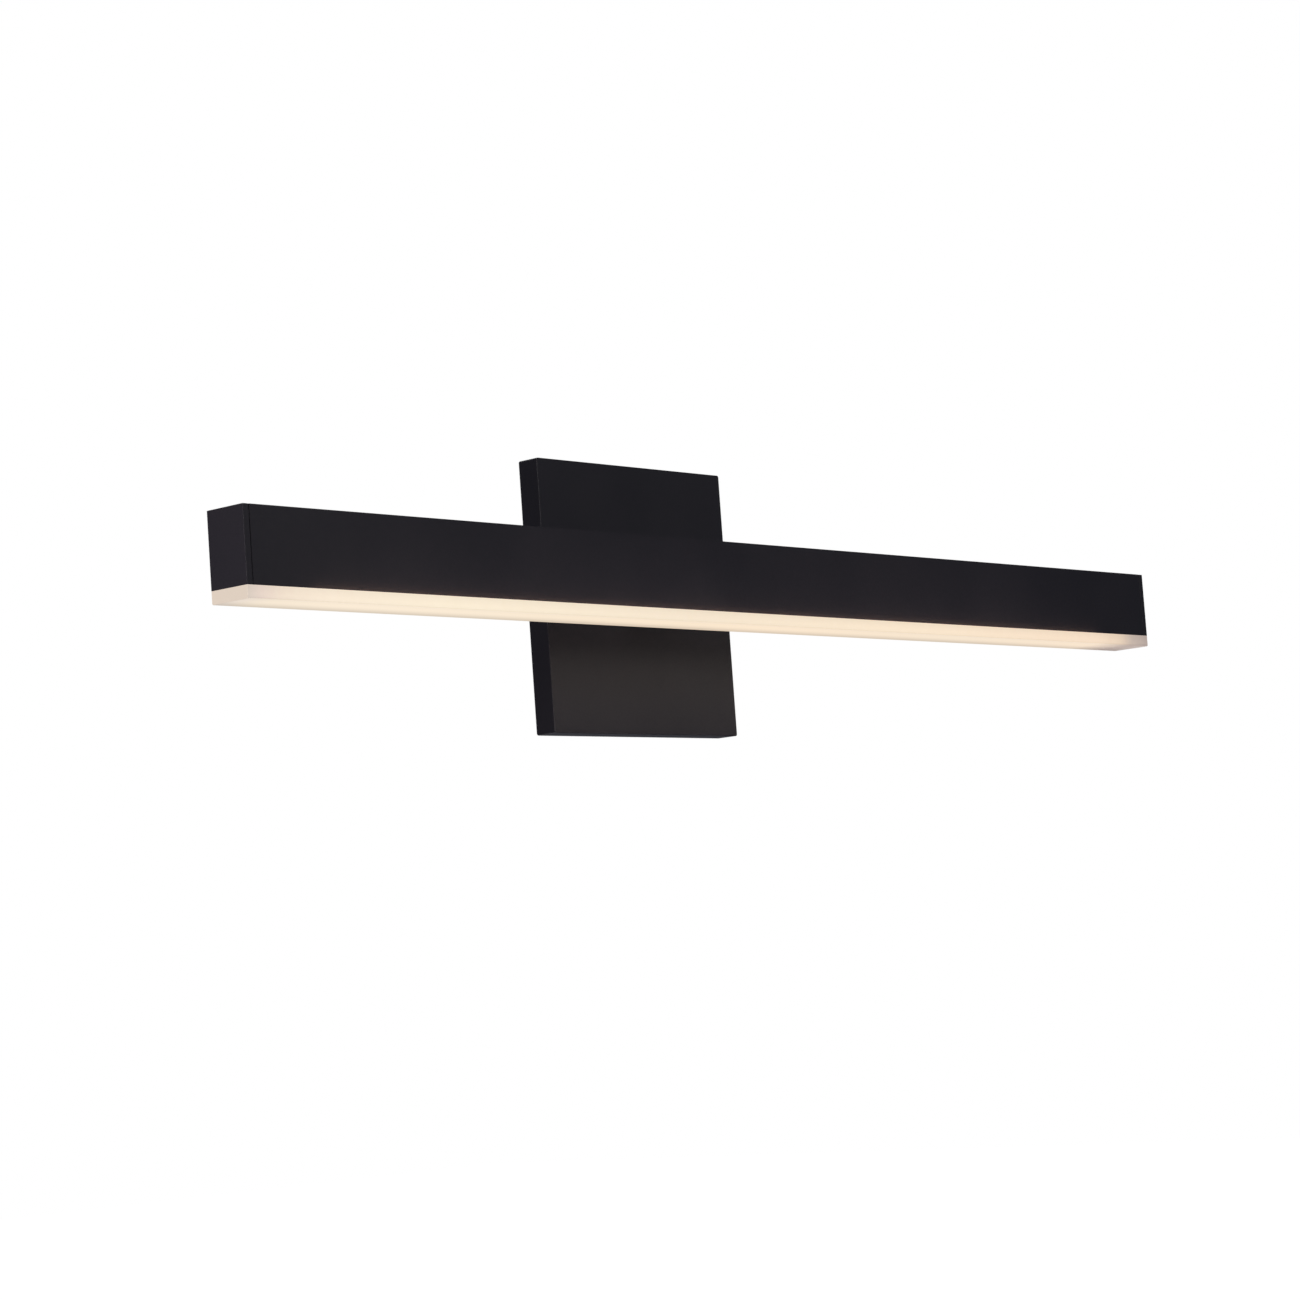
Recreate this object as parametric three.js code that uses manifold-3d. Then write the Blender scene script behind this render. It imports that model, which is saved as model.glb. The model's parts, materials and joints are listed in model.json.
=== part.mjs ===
// Linear LED vanity light: a slim light bar held off a square wall canopy by a hollow standoff arm.
// Millimetres. +X runs along the bar, the wall is the plane y = 0, the light faces -Y, and +Z is up.
// The origin is the middle of the wall bracket's rear face.

import * as THREE from 'three';
import { mergeVertices } from 'three/addons/utils/BufferGeometryUtils.js';
import Module from 'manifold-3d';

const wasm = await Module();
wasm.setup();

// ---------------------------------------------------------------- driving dimensions

// light bar
const BAR_LENGTH = 610;
const BAR_DEPTH = 21;
const CHANNEL_HEIGHT = 31.5;
const CHANNEL_WALL = 1.5;
const END_CAP_THICKNESS = 3;
const SPIGOT_WALL = 2.5;
const CAP_SCREW_MARGIN = 2;

// canopy and wall bracket
const CANOPY_WIDTH = 125;
const CANOPY_HEIGHT = 125;
const CANOPY_DEPTH = 11.5;
const CANOPY_WALL = 1.5;
const CANOPY_CORNER_RADIUS = 1;
const BRACKET_HEIGHT = 30;
const BRACKET_THICKNESS = 2;
const BRACKET_TAB_HEIGHT = 18;
const BRACKET_TAB_GAP = 0.5;
const BRACKET_SLOT_CENTRE = 39.7;
const BRACKET_SLOT_LENGTH = 14.6;
const BRACKET_SLOT_WIDTH = 5;

// standoff arm and what clamps it
const STANDOFF = 52.5;
const ARM_WIDTH = 36;
const ARM_HEIGHT = 15;
const ARM_WALL = 2;
const ARM_WIREWAY_WIDTH = 15;
const ARM_CORNER_RADIUS = 1;
const ARM_SCREW_SPACING = 25;
const BACKING_PLATE_WIDTH = 64;
const BACKING_PLATE_TOP = 18;
const BACKING_PLATE_BOTTOM = -42;
const BACKING_PLATE_THICKNESS = 2;
const NUT_PLATE_LENGTH = 44;
const NUT_PLATE_HEIGHT = 12;
const NUT_PLATE_THICKNESS = 3;

// ribs inside the channel, and the tray that slides between them
const LED_CHAMBER = 6.25;
const RIB_DEPTH = 1.2;
const RIB_THICKNESS = 1.2;
const TRAY_THICKNESS = 2;
const TRAY_PLAY = 0.2;
const TRAY_END_PLAY = 0.5;
const TRAY_LEAD_SLOT = { length: 7, width: 4 };

// diffuser
const DIFFUSER_DROP = 5.5;
const DIFFUSER_FLOOR = 2.5;
const DIFFUSER_END_WALL = 4;
const DIFFUSER_EDGE_RADIUS = 0.8;
const LEG_HEIGHT = 4.4;
const LEG_THICKNESS = 1.6;
const SNAP_DEPTH = 0.8;
const SNAP_HEIGHT = 1;
const SNAP_OFFSET = 1.3;
const SNAP_CLEARANCE = 0.2;
const BARB_DEPTH = 0.7;

// LED boards
const BOARD_THICKNESS = 1.2;
const BOARD_SIDE_PLAY = 0.8;
const BOARD_END_MARGIN = 5;
const BOARD_GAP = 4;
const BOARD_SCREW_INSET = 20;
const LED_PITCH = 8.3;
const LED_LENGTH = 3.5;
const LED_WIDTH = 2.8;
const LED_HEIGHT = 0.7;
const LED_KEEP_OUT = 5;
const CONNECTOR_LENGTH = 6;
const CONNECTOR_WIDTH = 7;
const CONNECTOR_HEIGHT = 3;
const CONNECTOR_BACK_WALL = 1.5;
const CONNECTOR_INSET = 1;
const JUMPER_PITCH = 3.2;
const JUMPER_REACH = 3;

// LED driver
const DRIVER_LENGTH = 150;
const DRIVER_HEIGHT = 15;
const DRIVER_OFFSET = 48;
const DRIVER_WALL = 1.2;
const DRIVER_SIDE_PLAY = 0.3;
const DRIVER_EAR_LENGTH = 9;
const DRIVER_EAR_THICKNESS = 1.5;
const DRIVER_BOARD_THICKNESS = 1.6;
const DRIVER_BOARD_LIFT = 1.8;
const DRIVER_LEDGE = 1;
const DRIVER_LIP = { thickness: 1, drop: 1.2 };

// what stands on the driver's board: at is the distance from the driver's left end
const TRANSFORMER = { at: 82, coreLength: 16, coreInset: 1.5, coreHeight: 6.8 };
const WINDING = { length: 10, inset: 0.5, lift: 0.8, height: 5.2 };
const CAPACITOR = { at: 40, radius: 3.4, length: 13.6, rim: 0.4 };
const CHOKE = { at: 108, ring: 3, inset: 1, height: 4.4, rim: 0.7 };
const DRIVER_CHIPS = [
  { at: 24, length: 6, width: 8, height: 3 },
  { at: 58, length: 8, width: 5, height: 1.8 },
  { at: 124, length: 7, width: 6, height: 2.5 },
];

// terminal block
const TERMINAL_POLES = 3;
const TERMINAL_PITCH = 6;
const TERMINAL_SIDE_WALL = 1;
const TERMINAL_BORE_DEPTH = 6;
const TERMINAL_HEIGHT = 14;
const TERMINAL_TOP = -22;
const TERMINAL_WALL_GAP = 1;
const TERMINAL_EAR_LENGTH = 8;
const TERMINAL_EAR_THICKNESS = 2;
const TERMINAL_EAR_INSET = 2;

// wires
const LEAD_RADIUS = 0.9;
const LEAD_GAP = 0.3;
const LEAD_BEND = 3.5;
const LEAD_INTO_TERMINAL = 4;
const LEAD_STRAIGHT_RISE = 5;
const LEAD_GATHER_DROP = 12;
const LEAD_INTO_DRIVER = 4;
const LEAD_STEPS = 44;
const OUTPUT_LEAD_RADIUS = 0.7;
const OUTPUT_LEAD_PITCH = 2.6;
const OUTPUT_LEAD_BEND = 6;
const OUTPUT_LEAD_INTO_DRIVER = 5;
const OUTPUT_LEAD_DROP_GAP = 8;
const OUTPUT_LEAD_TAIL = 0.6;
const OUTPUT_LEAD_STEPS = 20;
const JUMPER_RADIUS = 0.6;
const JUMPER_STEPS = 8;

// rubber bushings
const BUSHING_WALL = 0.9;
const BUSHING_LIP = 1.7;
const BUSHING_FLANGE_THICKNESS = 1.2;
const GROMMET_WALL = 0.6;
const GROMMET_LIP = 2;

// screws: shank radius, head radius, head height, length under the head
const ARM_SCREW = { shank: 2, head: 3.8, headHeight: 2.4 };
const CANOPY_SCREW = { shank: 2, head: 3.6, headHeight: 1.8, grip: 6 };
const GROUND_SCREW = { shank: 2.4, head: 4.5, headHeight: 2.4, grip: 1.8 };
const BOARD_SCREW = { shank: 1.25, head: 2.2, headHeight: 1.5, grip: 3 };
const DRIVER_SCREW = { shank: 1.5, head: 2.7, headHeight: 1.8, grip: 3.3 };
const TERMINAL_SCREW = { shank: 1.5, head: 2.7, headHeight: 1.8, grip: 3.8 };
const CAP_SCREW = { shank: 1.5, head: 2.7, headHeight: 1.2, grip: 4 };
const WASHER_RADIUS = 4.4;
const WASHER_THICKNESS = 0.8;

// shapes of the heads, as shares of the head radius (crown, flat, socket, hexagon) and of its height
const PAN_HEAD = { shoulder: 0.55, crown: 0.88, crownRise: 0.85, flat: 0.66, socket: 0.42, socketFloor: 0.4 };
const HEX_HEAD = { hexagon: 0.84, flange: 0.6, slotDepth: 0.9, slotWidth: 1 };
const FLAT_HEAD = { socket: 0.55, socketDepth: 0.8 };

// clearances
const FIT = 0.3;
const PAST = 1;
const FUSE = 0.1;
const MERGE_DISTANCE = 1e-5;
const ROUND_SEGMENTS = 16;
const BORE_SIDES = 12;
const SOCKET_SIDES = 6;
const WIRE_SIDES = 8;
const CURVE_SEGMENTS = 6;
const TRIM_SHARE_BEFORE_CORNER = 0.9;
const TRIM_SHARE_AFTER_CORNER = 0.45;

// ---------------------------------------------------------------- places worked out from them

const barHalf = BAR_LENGTH / 2;
const channelHalf = barHalf - END_CAP_THICKNESS;
const channelTop = CHANNEL_HEIGHT / 2;
const channelBottom = -CHANNEL_HEIGHT / 2;
const innerTop = channelTop - CHANNEL_WALL;
const diffuserBottom = channelBottom - DIFFUSER_DROP;

const canopyFace = -CANOPY_DEPTH;
const canopyInner = canopyFace + CANOPY_WALL;
const backingRear = canopyInner + BACKING_PLATE_THICKNESS;
const bracketFront = -BRACKET_THICKNESS;

const barBack = canopyFace - STANDOFF;
const barMiddle = barBack - BAR_DEPTH / 2;
const innerHalf = BAR_DEPTH / 2 - CHANNEL_WALL;
const innerBack = barBack - CHANNEL_WALL;
const nutPlateFront = innerBack - NUT_PLATE_THICKNESS;

const trayBottom = channelBottom + LED_CHAMBER;
const trayTop = trayBottom + TRAY_THICKNESS;
const upperRibBottom = trayTop + TRAY_PLAY;
const upperRibTop = upperRibBottom + RIB_THICKNESS;
const lowerRibBottom = trayBottom - RIB_THICKNESS;
const ribHalf = innerHalf - RIB_DEPTH;

// the arm meets the bar at the middle of its driver bay
const armZ = (upperRibTop + innerTop) / 2;
const armScrewX = ARM_SCREW_SPACING / 2;

// the leads run between the bracket and the canopy bushing, then side by side along the arm
const leadPitch = 2 * LEAD_RADIUS + LEAD_GAP;
const leadLaneY = (bracketFront + backingRear + BUSHING_FLANGE_THICKNESS) / 2;
const bushingBore = leadPitch + LEAD_RADIUS + 2 * FIT;
const bushingBarrel = bushingBore + BUSHING_WALL;
const bushingFlange = bushingBarrel + BUSHING_LIP;
const channelBushingFront = nutPlateFront - BUSHING_FLANGE_THICKNESS;

const boardHalf = ribHalf - BOARD_SIDE_PLAY;
const boardBottom = trayBottom - BOARD_THICKNESS;
const boardOuterEnd = channelHalf - BOARD_END_MARGIN;
const boardInnerEnd = BOARD_GAP / 2;
const connectorX = boardInnerEnd + CONNECTOR_LENGTH / 2 + CONNECTOR_INSET;
const boardScrewXs = [boardInnerEnd + BOARD_SCREW_INSET, boardOuterEnd - BOARD_SCREW_INSET];

const driverRight = -DRIVER_OFFSET;
const driverLeft = driverRight - DRIVER_LENGTH;
const driverHalf = ribHalf - DRIVER_SIDE_PLAY;
const driverTop = trayTop + DRIVER_HEIGHT;
const driverLidBottom = driverTop - DRIVER_WALL;
const driverFloor = trayTop + DRIVER_WALL;
const driverBoardTop = driverFloor + DRIVER_BOARD_LIFT + DRIVER_BOARD_THICKNESS;
const driverInnerFront = barMiddle - driverHalf + DRIVER_WALL;
const driverBoardHalf = driverHalf - DRIVER_WALL - FIT;
const driverLeadZ = driverLidBottom - 2 * FIT - GROMMET_WALL - LEAD_RADIUS;
const driverScrewXs = [driverLeft - DRIVER_EAR_LENGTH / 2, driverRight + DRIVER_EAR_LENGTH / 2];
const outputDropX = driverLeft - DRIVER_EAR_LENGTH - OUTPUT_LEAD_DROP_GAP;

// ---------------------------------------------------------------- materials

function blackPowderCoat() {
  return new THREE.MeshStandardMaterial({ color: 0x1d1c20, roughness: 0.55, metalness: 0.1 });
}

function frostedAcrylic() {
  return new THREE.MeshStandardMaterial({
    color: 0xf6e8d6, roughness: 0.5, metalness: 0, emissive: 0xffe2bf, emissiveIntensity: 0.8,
  });
}

function zincSteel() {
  return new THREE.MeshStandardMaterial({ color: 0xa9acb0, roughness: 0.4, metalness: 0.9 });
}

function millAluminium() {
  return new THREE.MeshStandardMaterial({ color: 0xc3c5c8, roughness: 0.45, metalness: 0.9 });
}

function whiteBoard() {
  return new THREE.MeshStandardMaterial({ color: 0xf1f1ec, roughness: 0.5, metalness: 0 });
}

function greenBoard() {
  return new THREE.MeshStandardMaterial({ color: 0x1f5a36, roughness: 0.5, metalness: 0 });
}

function whitePlastic() {
  return new THREE.MeshStandardMaterial({ color: 0xe9e8e3, roughness: 0.45, metalness: 0 });
}

function blackPlastic() {
  return new THREE.MeshStandardMaterial({ color: 0x202022, roughness: 0.5, metalness: 0 });
}

function blackRubber() {
  return new THREE.MeshStandardMaterial({ color: 0x151515, roughness: 0.8, metalness: 0 });
}

function ferriteAndTape() {
  return new THREE.MeshStandardMaterial({ color: 0xb59a3c, roughness: 0.6, metalness: 0 });
}

function greenScrew() {
  return new THREE.MeshStandardMaterial({ color: 0x2b7a3f, roughness: 0.4, metalness: 0.6 });
}

function wireInsulation(color) {
  return new THREE.MeshStandardMaterial({ color, roughness: 0.5, metalness: 0 });
}

// ---------------------------------------------------------------- shape tools

const X = new THREE.Vector3(1, 0, 0);
const Y = new THREE.Vector3(0, 1, 0);
const Z = new THREE.Vector3(0, 0, 1);

function middle(span) {
  return (span[0] + span[1]) / 2;
}

function ordered(...ends) {
  return ends.sort((a, b) => a - b);
}

// Six times the signed volume of an indexed mesh: negative when its faces point inwards.
function signedVolume(position, index) {
  const a = new THREE.Vector3();
  const b = new THREE.Vector3();
  const c = new THREE.Vector3();
  let sum = 0;
  for (let i = 0; i < index.length; i += 3) {
    a.fromBufferAttribute(position, index[i]);
    b.fromBufferAttribute(position, index[i + 1]);
    c.fromBufferAttribute(position, index[i + 2]);
    sum += a.dot(b.cross(c));
  }
  return sum;
}

// One closed mesh with shared vertices, no empty triangles, and its faces pointing out.
function closed(geometry) {
  const bare = geometry.clone();
  bare.deleteAttribute('normal');
  bare.deleteAttribute('uv');
  const merged = mergeVertices(bare, MERGE_DISTANCE);
  const index = [];
  for (let i = 0; i < merged.index.count; i += 3) {
    const [a, b, c] = [0, 1, 2].map((k) => merged.index.getX(i + k));
    if (a !== b && b !== c && c !== a) index.push(a, b, c);
  }
  if (signedVolume(merged.attributes.position, index) < 0) index.reverse();
  merged.setIndex(index);
  return merged;
}

function solidOf(geometry) {
  const mesh = closed(geometry);
  return new wasm.Manifold(new wasm.Mesh({
    numProp: 3,
    vertProperties: mesh.attributes.position.array,
    triVerts: new Uint32Array(mesh.index.array),
  }));
}

function geometryOf(solid) {
  const mesh = solid.getMesh();
  const geometry = new THREE.BufferGeometry();
  geometry.setAttribute('position', new THREE.BufferAttribute(mesh.vertProperties, 3));
  geometry.setIndex(new THREE.BufferAttribute(mesh.triVerts, 1));
  return geometry;
}

function cut(body, ...tools) {
  return geometryOf(tools.reduce((solid, tool) => solid.subtract(solidOf(tool)), solidOf(body)));
}

function join(first, ...others) {
  return geometryOf(others.reduce((solid, body) => solid.add(solidOf(body)), solidOf(first)));
}

// A block whose corners lie exactly on the given spans.
function block(x, y, z) {
  const geometry = new THREE.BoxGeometry(1, 1, 1);
  const position = geometry.attributes.position;
  for (let i = 0; i < position.count; i += 1) {
    position.setXYZ(
      i,
      x[position.getX(i) < 0 ? 0 : 1],
      y[position.getY(i) < 0 ? 0 : 1],
      z[position.getZ(i) < 0 ? 0 : 1],
    );
  }
  return geometry;
}

// Extrudes an outline drawn in the other two axes: (y, z) for X, (x, z) for Y and (x, y) for Z.
function extrude(axis, shape, span) {
  const options = { depth: 1, bevelEnabled: false, curveSegments: CURVE_SEGMENTS };
  const geometry = new THREE.ExtrudeGeometry(shape, options);
  const position = geometry.attributes.position;
  for (let i = 0; i < position.count; i += 1) {
    const a = position.getX(i);
    const b = position.getY(i);
    const far = position.getZ(i) > 0.5;
    if (axis === X) position.setXYZ(i, span[far ? 1 : 0], a, b);
    if (axis === Y) position.setXYZ(i, a, span[far ? 0 : 1], b);
    if (axis === Z) position.setXYZ(i, a, b, span[far ? 1 : 0]);
  }
  return geometry;
}

function polygon(points) {
  return new THREE.Shape(points.map(([a, b]) => new THREE.Vector2(a, b)));
}

function roundedRectangle(a, b, radius) {
  const shape = new THREE.Shape();
  shape.moveTo(a[0] + radius, b[0]);
  shape.lineTo(a[1] - radius, b[0]);
  shape.absarc(a[1] - radius, b[0] + radius, radius, -Math.PI / 2, 0);
  shape.lineTo(a[1], b[1] - radius);
  shape.absarc(a[1] - radius, b[1] - radius, radius, 0, Math.PI / 2);
  shape.lineTo(a[0] + radius, b[1]);
  shape.absarc(a[0] + radius, b[1] - radius, radius, Math.PI / 2, Math.PI);
  shape.lineTo(a[0], b[0] + radius);
  shape.absarc(a[0] + radius, b[0] + radius, radius, Math.PI, Math.PI * 1.5);
  return shape;
}

// A slot with round ends, its length along the outline's first axis.
function slot(centre, length, width) {
  const [a, b] = centre;
  const halfLength = length / 2;
  const halfWidth = width / 2;
  return roundedRectangle(
    [a - halfLength, a + halfLength],
    [b - halfWidth, b + halfWidth],
    halfWidth - MERGE_DISTANCE,
  );
}

// Turns a piece modelled along +Y to another direction and puts its origin at a place.
function aim(geometry, direction, place) {
  const turn = new THREE.Quaternion().setFromUnitVectors(Y, direction);
  return geometry.applyQuaternion(turn).translate(...place);
}

function rod(axis, radius, span, centre, sides = ROUND_SEGMENTS) {
  const geometry = new THREE.CylinderGeometry(radius, radius, span[1] - span[0], sides);
  const place = [...centre];
  place[[X, Y, Z].indexOf(axis)] = middle(span);
  return aim(geometry, axis, place);
}

// A turned piece: [radius, height] pairs around the Y axis.
function turned(profile, sides = ROUND_SEGMENTS) {
  return new THREE.LatheGeometry(profile.map(([r, h]) => new THREE.Vector2(r, h)), sides);
}

// A pan head screw along Y: the head sits above the origin and the shank hangs below it.
function panScrew({ shank, head, headHeight, grip }) {
  const body = turned([
    [0, -grip],
    [shank, -grip],
    [shank, 0],
    [head, 0],
    [head, headHeight * PAN_HEAD.shoulder],
    [head * PAN_HEAD.crown, headHeight * PAN_HEAD.crownRise],
    [head * PAN_HEAD.flat, headHeight],
    [0, headHeight],
  ]);
  const socketSpan = [headHeight * PAN_HEAD.socketFloor, headHeight + PAST];
  const socket = rod(Y, head * PAN_HEAD.socket, socketSpan, [0, 0, 0], SOCKET_SIDES);
  return cut(body, socket);
}

// A hexagon head screw with a flange under the hexagon and a straight screwdriver slot.
function hexScrew({ shank, head, headHeight, grip }) {
  const rim = HEX_HEAD.flange;
  const slotHalf = HEX_HEAD.slotWidth / 2;
  const slotFloor = headHeight - HEX_HEAD.slotDepth;
  const flange = turned([[0, -grip], [shank, -grip], [shank, 0], [head, 0], [head, rim], [0, rim]]);
  const hexagon = rod(Y, head * HEX_HEAD.hexagon, [rim - FUSE, headHeight], [0, 0, 0], 6);
  const driveSlot = block([-head, head], [slotFloor, headHeight + PAST], [-slotHalf, slotHalf]);
  return cut(join(flange, hexagon), driveSlot);
}

// A countersunk screw whose flat head lies on the plane y = 0. With grow it is the hole for it.
function countersunk({ shank, head, headHeight, grip }, grow = 0) {
  const lid = grow > 0 ? PAST : 0;
  return turned([
    [0, -grip - grow],
    [shank + grow, -grip - grow],
    [shank + grow, -headHeight - grow],
    [head + grow, -grow],
    [head + grow, lid],
    [0, lid],
  ]);
}

function countersunkScrew(size) {
  const span = [-size.headHeight * FLAT_HEAD.socketDepth, PAST];
  const socket = rod(Y, size.shank * FLAT_HEAD.socket, span, [0, 0, 0], SOCKET_SIDES);
  return cut(countersunk(size), socket);
}

function ring(inner, outer, span) {
  return turned([[inner, span[0]], [outer, span[0]], [outer, span[1]], [inner, span[1]], [inner, span[0]]]);
}

// A straight-sided route with each corner rounded off.
function route(corners, radius) {
  const points = corners.map((p) => new THREE.Vector3(...p));
  const path = new THREE.CurvePath();
  let from = points[0];
  for (let i = 1; i < points.length - 1; i += 1) {
    const toCorner = points[i].clone().sub(from);
    const fromCorner = points[i + 1].clone().sub(points[i]);
    const trim = Math.min(
      radius,
      toCorner.length() * TRIM_SHARE_BEFORE_CORNER,
      fromCorner.length() * TRIM_SHARE_AFTER_CORNER,
    );
    const enter = points[i].clone().addScaledVector(toCorner.normalize(), -trim);
    const leave = points[i].clone().addScaledVector(fromCorner.normalize(), trim);
    path.add(new THREE.LineCurve3(from, enter));
    path.add(new THREE.QuadraticBezierCurve3(enter, points[i], leave));
    from = leave;
  }
  path.add(new THREE.LineCurve3(from, points[points.length - 1]));
  return path;
}

function wire(corners, radius, bend, steps) {
  const section = [];
  for (let i = 0; i < WIRE_SIDES; i += 1) {
    const angle = (i / WIRE_SIDES) * Math.PI * 2;
    section.push([Math.cos(angle) * radius, Math.sin(angle) * radius]);
  }
  const extrudePath = route(corners, bend);
  return new THREE.ExtrudeGeometry(polygon(section), { steps, extrudePath, bevelEnabled: false });
}

const light = new THREE.Group();

function add(name, geometry, material) {
  const mesh = new THREE.Mesh(closed(geometry), material);
  mesh.name = name;
  mesh.material.flatShading = true;
  light.add(mesh);
}

// Spans across the bar are measured from its middle plane, towards the wall being positive.
function acrossBar(from, to) {
  return [barMiddle + from, barMiddle + to];
}

// ---------------------------------------------------------------- canopy and wall bracket

function armHoles(radius, span) {
  return [-armScrewX, armScrewX].map((x) => rod(Y, radius, span, [x, 0, armZ]));
}

function bushingHole(span) {
  return rod(Y, bushingBarrel + FIT, span, [0, 0, armZ]);
}

// An open-backed pan of folded sheet.
function canopy() {
  const halfW = CANOPY_WIDTH / 2;
  const halfH = CANOPY_HEIGHT / 2;
  const innerW = halfW - CANOPY_WALL;
  const innerH = halfH - CANOPY_WALL;
  const outside = roundedRectangle([-halfW, halfW], [-halfH, halfH], CANOPY_CORNER_RADIUS);
  const through = [canopyFace - PAST, canopyInner + PAST];
  const sideHole = CANOPY_SCREW.shank + FIT;
  return cut(
    extrude(Y, outside, [canopyFace, 0]),
    block([-innerW, innerW], [canopyInner, PAST], [-innerH, innerH]),
    ...armHoles(ARM_SCREW.shank + FIT, through),
    bushingHole(through),
    rod(X, sideHole, [-halfW - PAST, halfW + PAST], [0, canopyFace / 2, 0]),
  );
}

// A steel strap with two box-screw slots, its ends bent forward to take the canopy screws.
function wallBracket() {
  const tabOuter = CANOPY_WIDTH / 2 - CANOPY_WALL - BRACKET_TAB_GAP;
  const tabInner = tabOuter - BRACKET_THICKNESS;
  const tabFront = canopyInner + CANOPY_WALL / 2;
  const tabHalf = BRACKET_TAB_HEIGHT / 2;
  const strapHalf = BRACKET_HEIGHT / 2;
  const strap = block([-tabOuter, tabOuter], [bracketFront, 0], [-strapHalf, strapHalf]);
  const tabs = [[-tabOuter, -tabInner], [tabInner, tabOuter]].map(
    (span) => block(span, [tabFront, bracketFront / 2], [-tabHalf, tabHalf]),
  );
  const slots = [-BRACKET_SLOT_CENTRE, BRACKET_SLOT_CENTRE].map((x) => extrude(
    Y,
    slot([x, 0], BRACKET_SLOT_LENGTH, BRACKET_SLOT_WIDTH),
    [bracketFront - PAST, PAST],
  ));
  return cut(
    join(strap, ...tabs),
    ...slots,
    rod(Y, GROUND_SCREW.shank + FIT, [bracketFront - PAST, PAST], [groundScrewX(), 0, 0]),
    rod(X, CANOPY_SCREW.shank + FIT, [-tabOuter - PAST, tabOuter + PAST], [0, canopyFace / 2, 0]),
  );
}

// The ground screw stands midway between an arm screw's washer and the bracket's slot.
function groundScrewX() {
  const washerEdge = armScrewX + WASHER_RADIUS;
  const slotEdge = BRACKET_SLOT_CENTRE - BRACKET_SLOT_LENGTH / 2;
  return (washerEdge + slotEdge) / 2;
}

function canopyScrews() {
  [['left', -1], ['right', 1]].forEach(([side, sign]) => {
    const place = [(sign * CANOPY_WIDTH) / 2, canopyFace / 2, 0];
    const direction = X.clone().multiplyScalar(sign);
    add(`canopy_screw_${side}`, aim(panScrew(CANOPY_SCREW), direction, place), blackPowderCoat());
  });
}

function groundScrew() {
  return aim(hexScrew(GROUND_SCREW), Y.clone().negate(), [groundScrewX(), bracketFront, 0]);
}

// ---------------------------------------------------------------- standoff arm

// An extruded arm with a wireway in the middle and a screw port in each solid side.
function standoffArm() {
  const halfW = ARM_WIDTH / 2;
  const halfH = ARM_HEIGHT / 2;
  const wayHalf = ARM_WIREWAY_WIDTH / 2;
  const wayHalfH = halfH - ARM_WALL;
  const span = [barBack, canopyFace];
  const through = [barBack - PAST, canopyFace + PAST];
  const outside = roundedRectangle([-halfW, halfW], [armZ - halfH, armZ + halfH], ARM_CORNER_RADIUS);
  const wayZ = [armZ - wayHalfH, armZ + wayHalfH];
  const wireway = roundedRectangle([-wayHalf, wayHalf], wayZ, ARM_CORNER_RADIUS);
  return cut(
    extrude(Y, outside, span),
    extrude(Y, wireway, through),
    ...armHoles(ARM_SCREW.shank + FIT, through),
  );
}

// A stiffener inside the canopy that spreads the arm's load and carries the terminal block.
function armBackingPlate() {
  const half = BACKING_PLATE_WIDTH / 2;
  const through = [canopyInner - PAST, backingRear + PAST];
  return cut(
    block([-half, half], [canopyInner, backingRear], [BACKING_PLATE_BOTTOM, BACKING_PLATE_TOP]),
    ...armHoles(ARM_SCREW.shank + FIT, through),
    bushingHole(through),
    rod(Y, TERMINAL_SCREW.shank + FIT, through, [terminalEarX(), 0, terminalMiddle()]),
  );
}

function armNutPlate() {
  const half = NUT_PLATE_LENGTH / 2;
  const halfH = NUT_PLATE_HEIGHT / 2;
  const through = [nutPlateFront - PAST, innerBack + PAST];
  return cut(
    block([-half, half], [nutPlateFront, innerBack], [armZ - halfH, armZ + halfH]),
    ...armHoles(ARM_SCREW.shank + FIT, through),
    bushingHole(through),
  );
}

// Each arm screw reaches from its washer through the canopy, the arm and the bar's back to the front
// of the nut plate.
function armScrews() {
  const seat = backingRear + WASHER_THICKNESS;
  const size = { ...ARM_SCREW, grip: seat - nutPlateFront };
  [['left', -armScrewX], ['right', armScrewX]].forEach(([side, x]) => {
    const washer = ring(ARM_SCREW.shank + FIT, WASHER_RADIUS, [0, WASHER_THICKNESS]);
    add(`arm_washer_${side}`, aim(washer, Y, [x, backingRear, armZ]), zincSteel());
    add(`arm_screw_${side}`, aim(panScrew(size), Y, [x, seat, armZ]), zincSteel());
  });
}

// A snap-in bushing along Y: its flange above the origin, its barrel below.
function bushing(barrelLength) {
  return turned([
    [bushingBore, -barrelLength],
    [bushingBarrel, -barrelLength],
    [bushingBarrel, 0],
    [bushingFlange, 0],
    [bushingFlange, BUSHING_FLANGE_THICKNESS],
    [bushingBore, BUSHING_FLANGE_THICKNESS],
    [bushingBore, -barrelLength],
  ]);
}

// ---------------------------------------------------------------- terminal block and leads

function terminalMiddle() {
  return TERMINAL_TOP - TERMINAL_HEIGHT / 2;
}

function terminalHalf() {
  return (TERMINAL_POLES * TERMINAL_PITCH) / 2 + TERMINAL_SIDE_WALL;
}

function terminalEarX() {
  return terminalHalf() + TERMINAL_EAR_LENGTH / 2;
}

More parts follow.
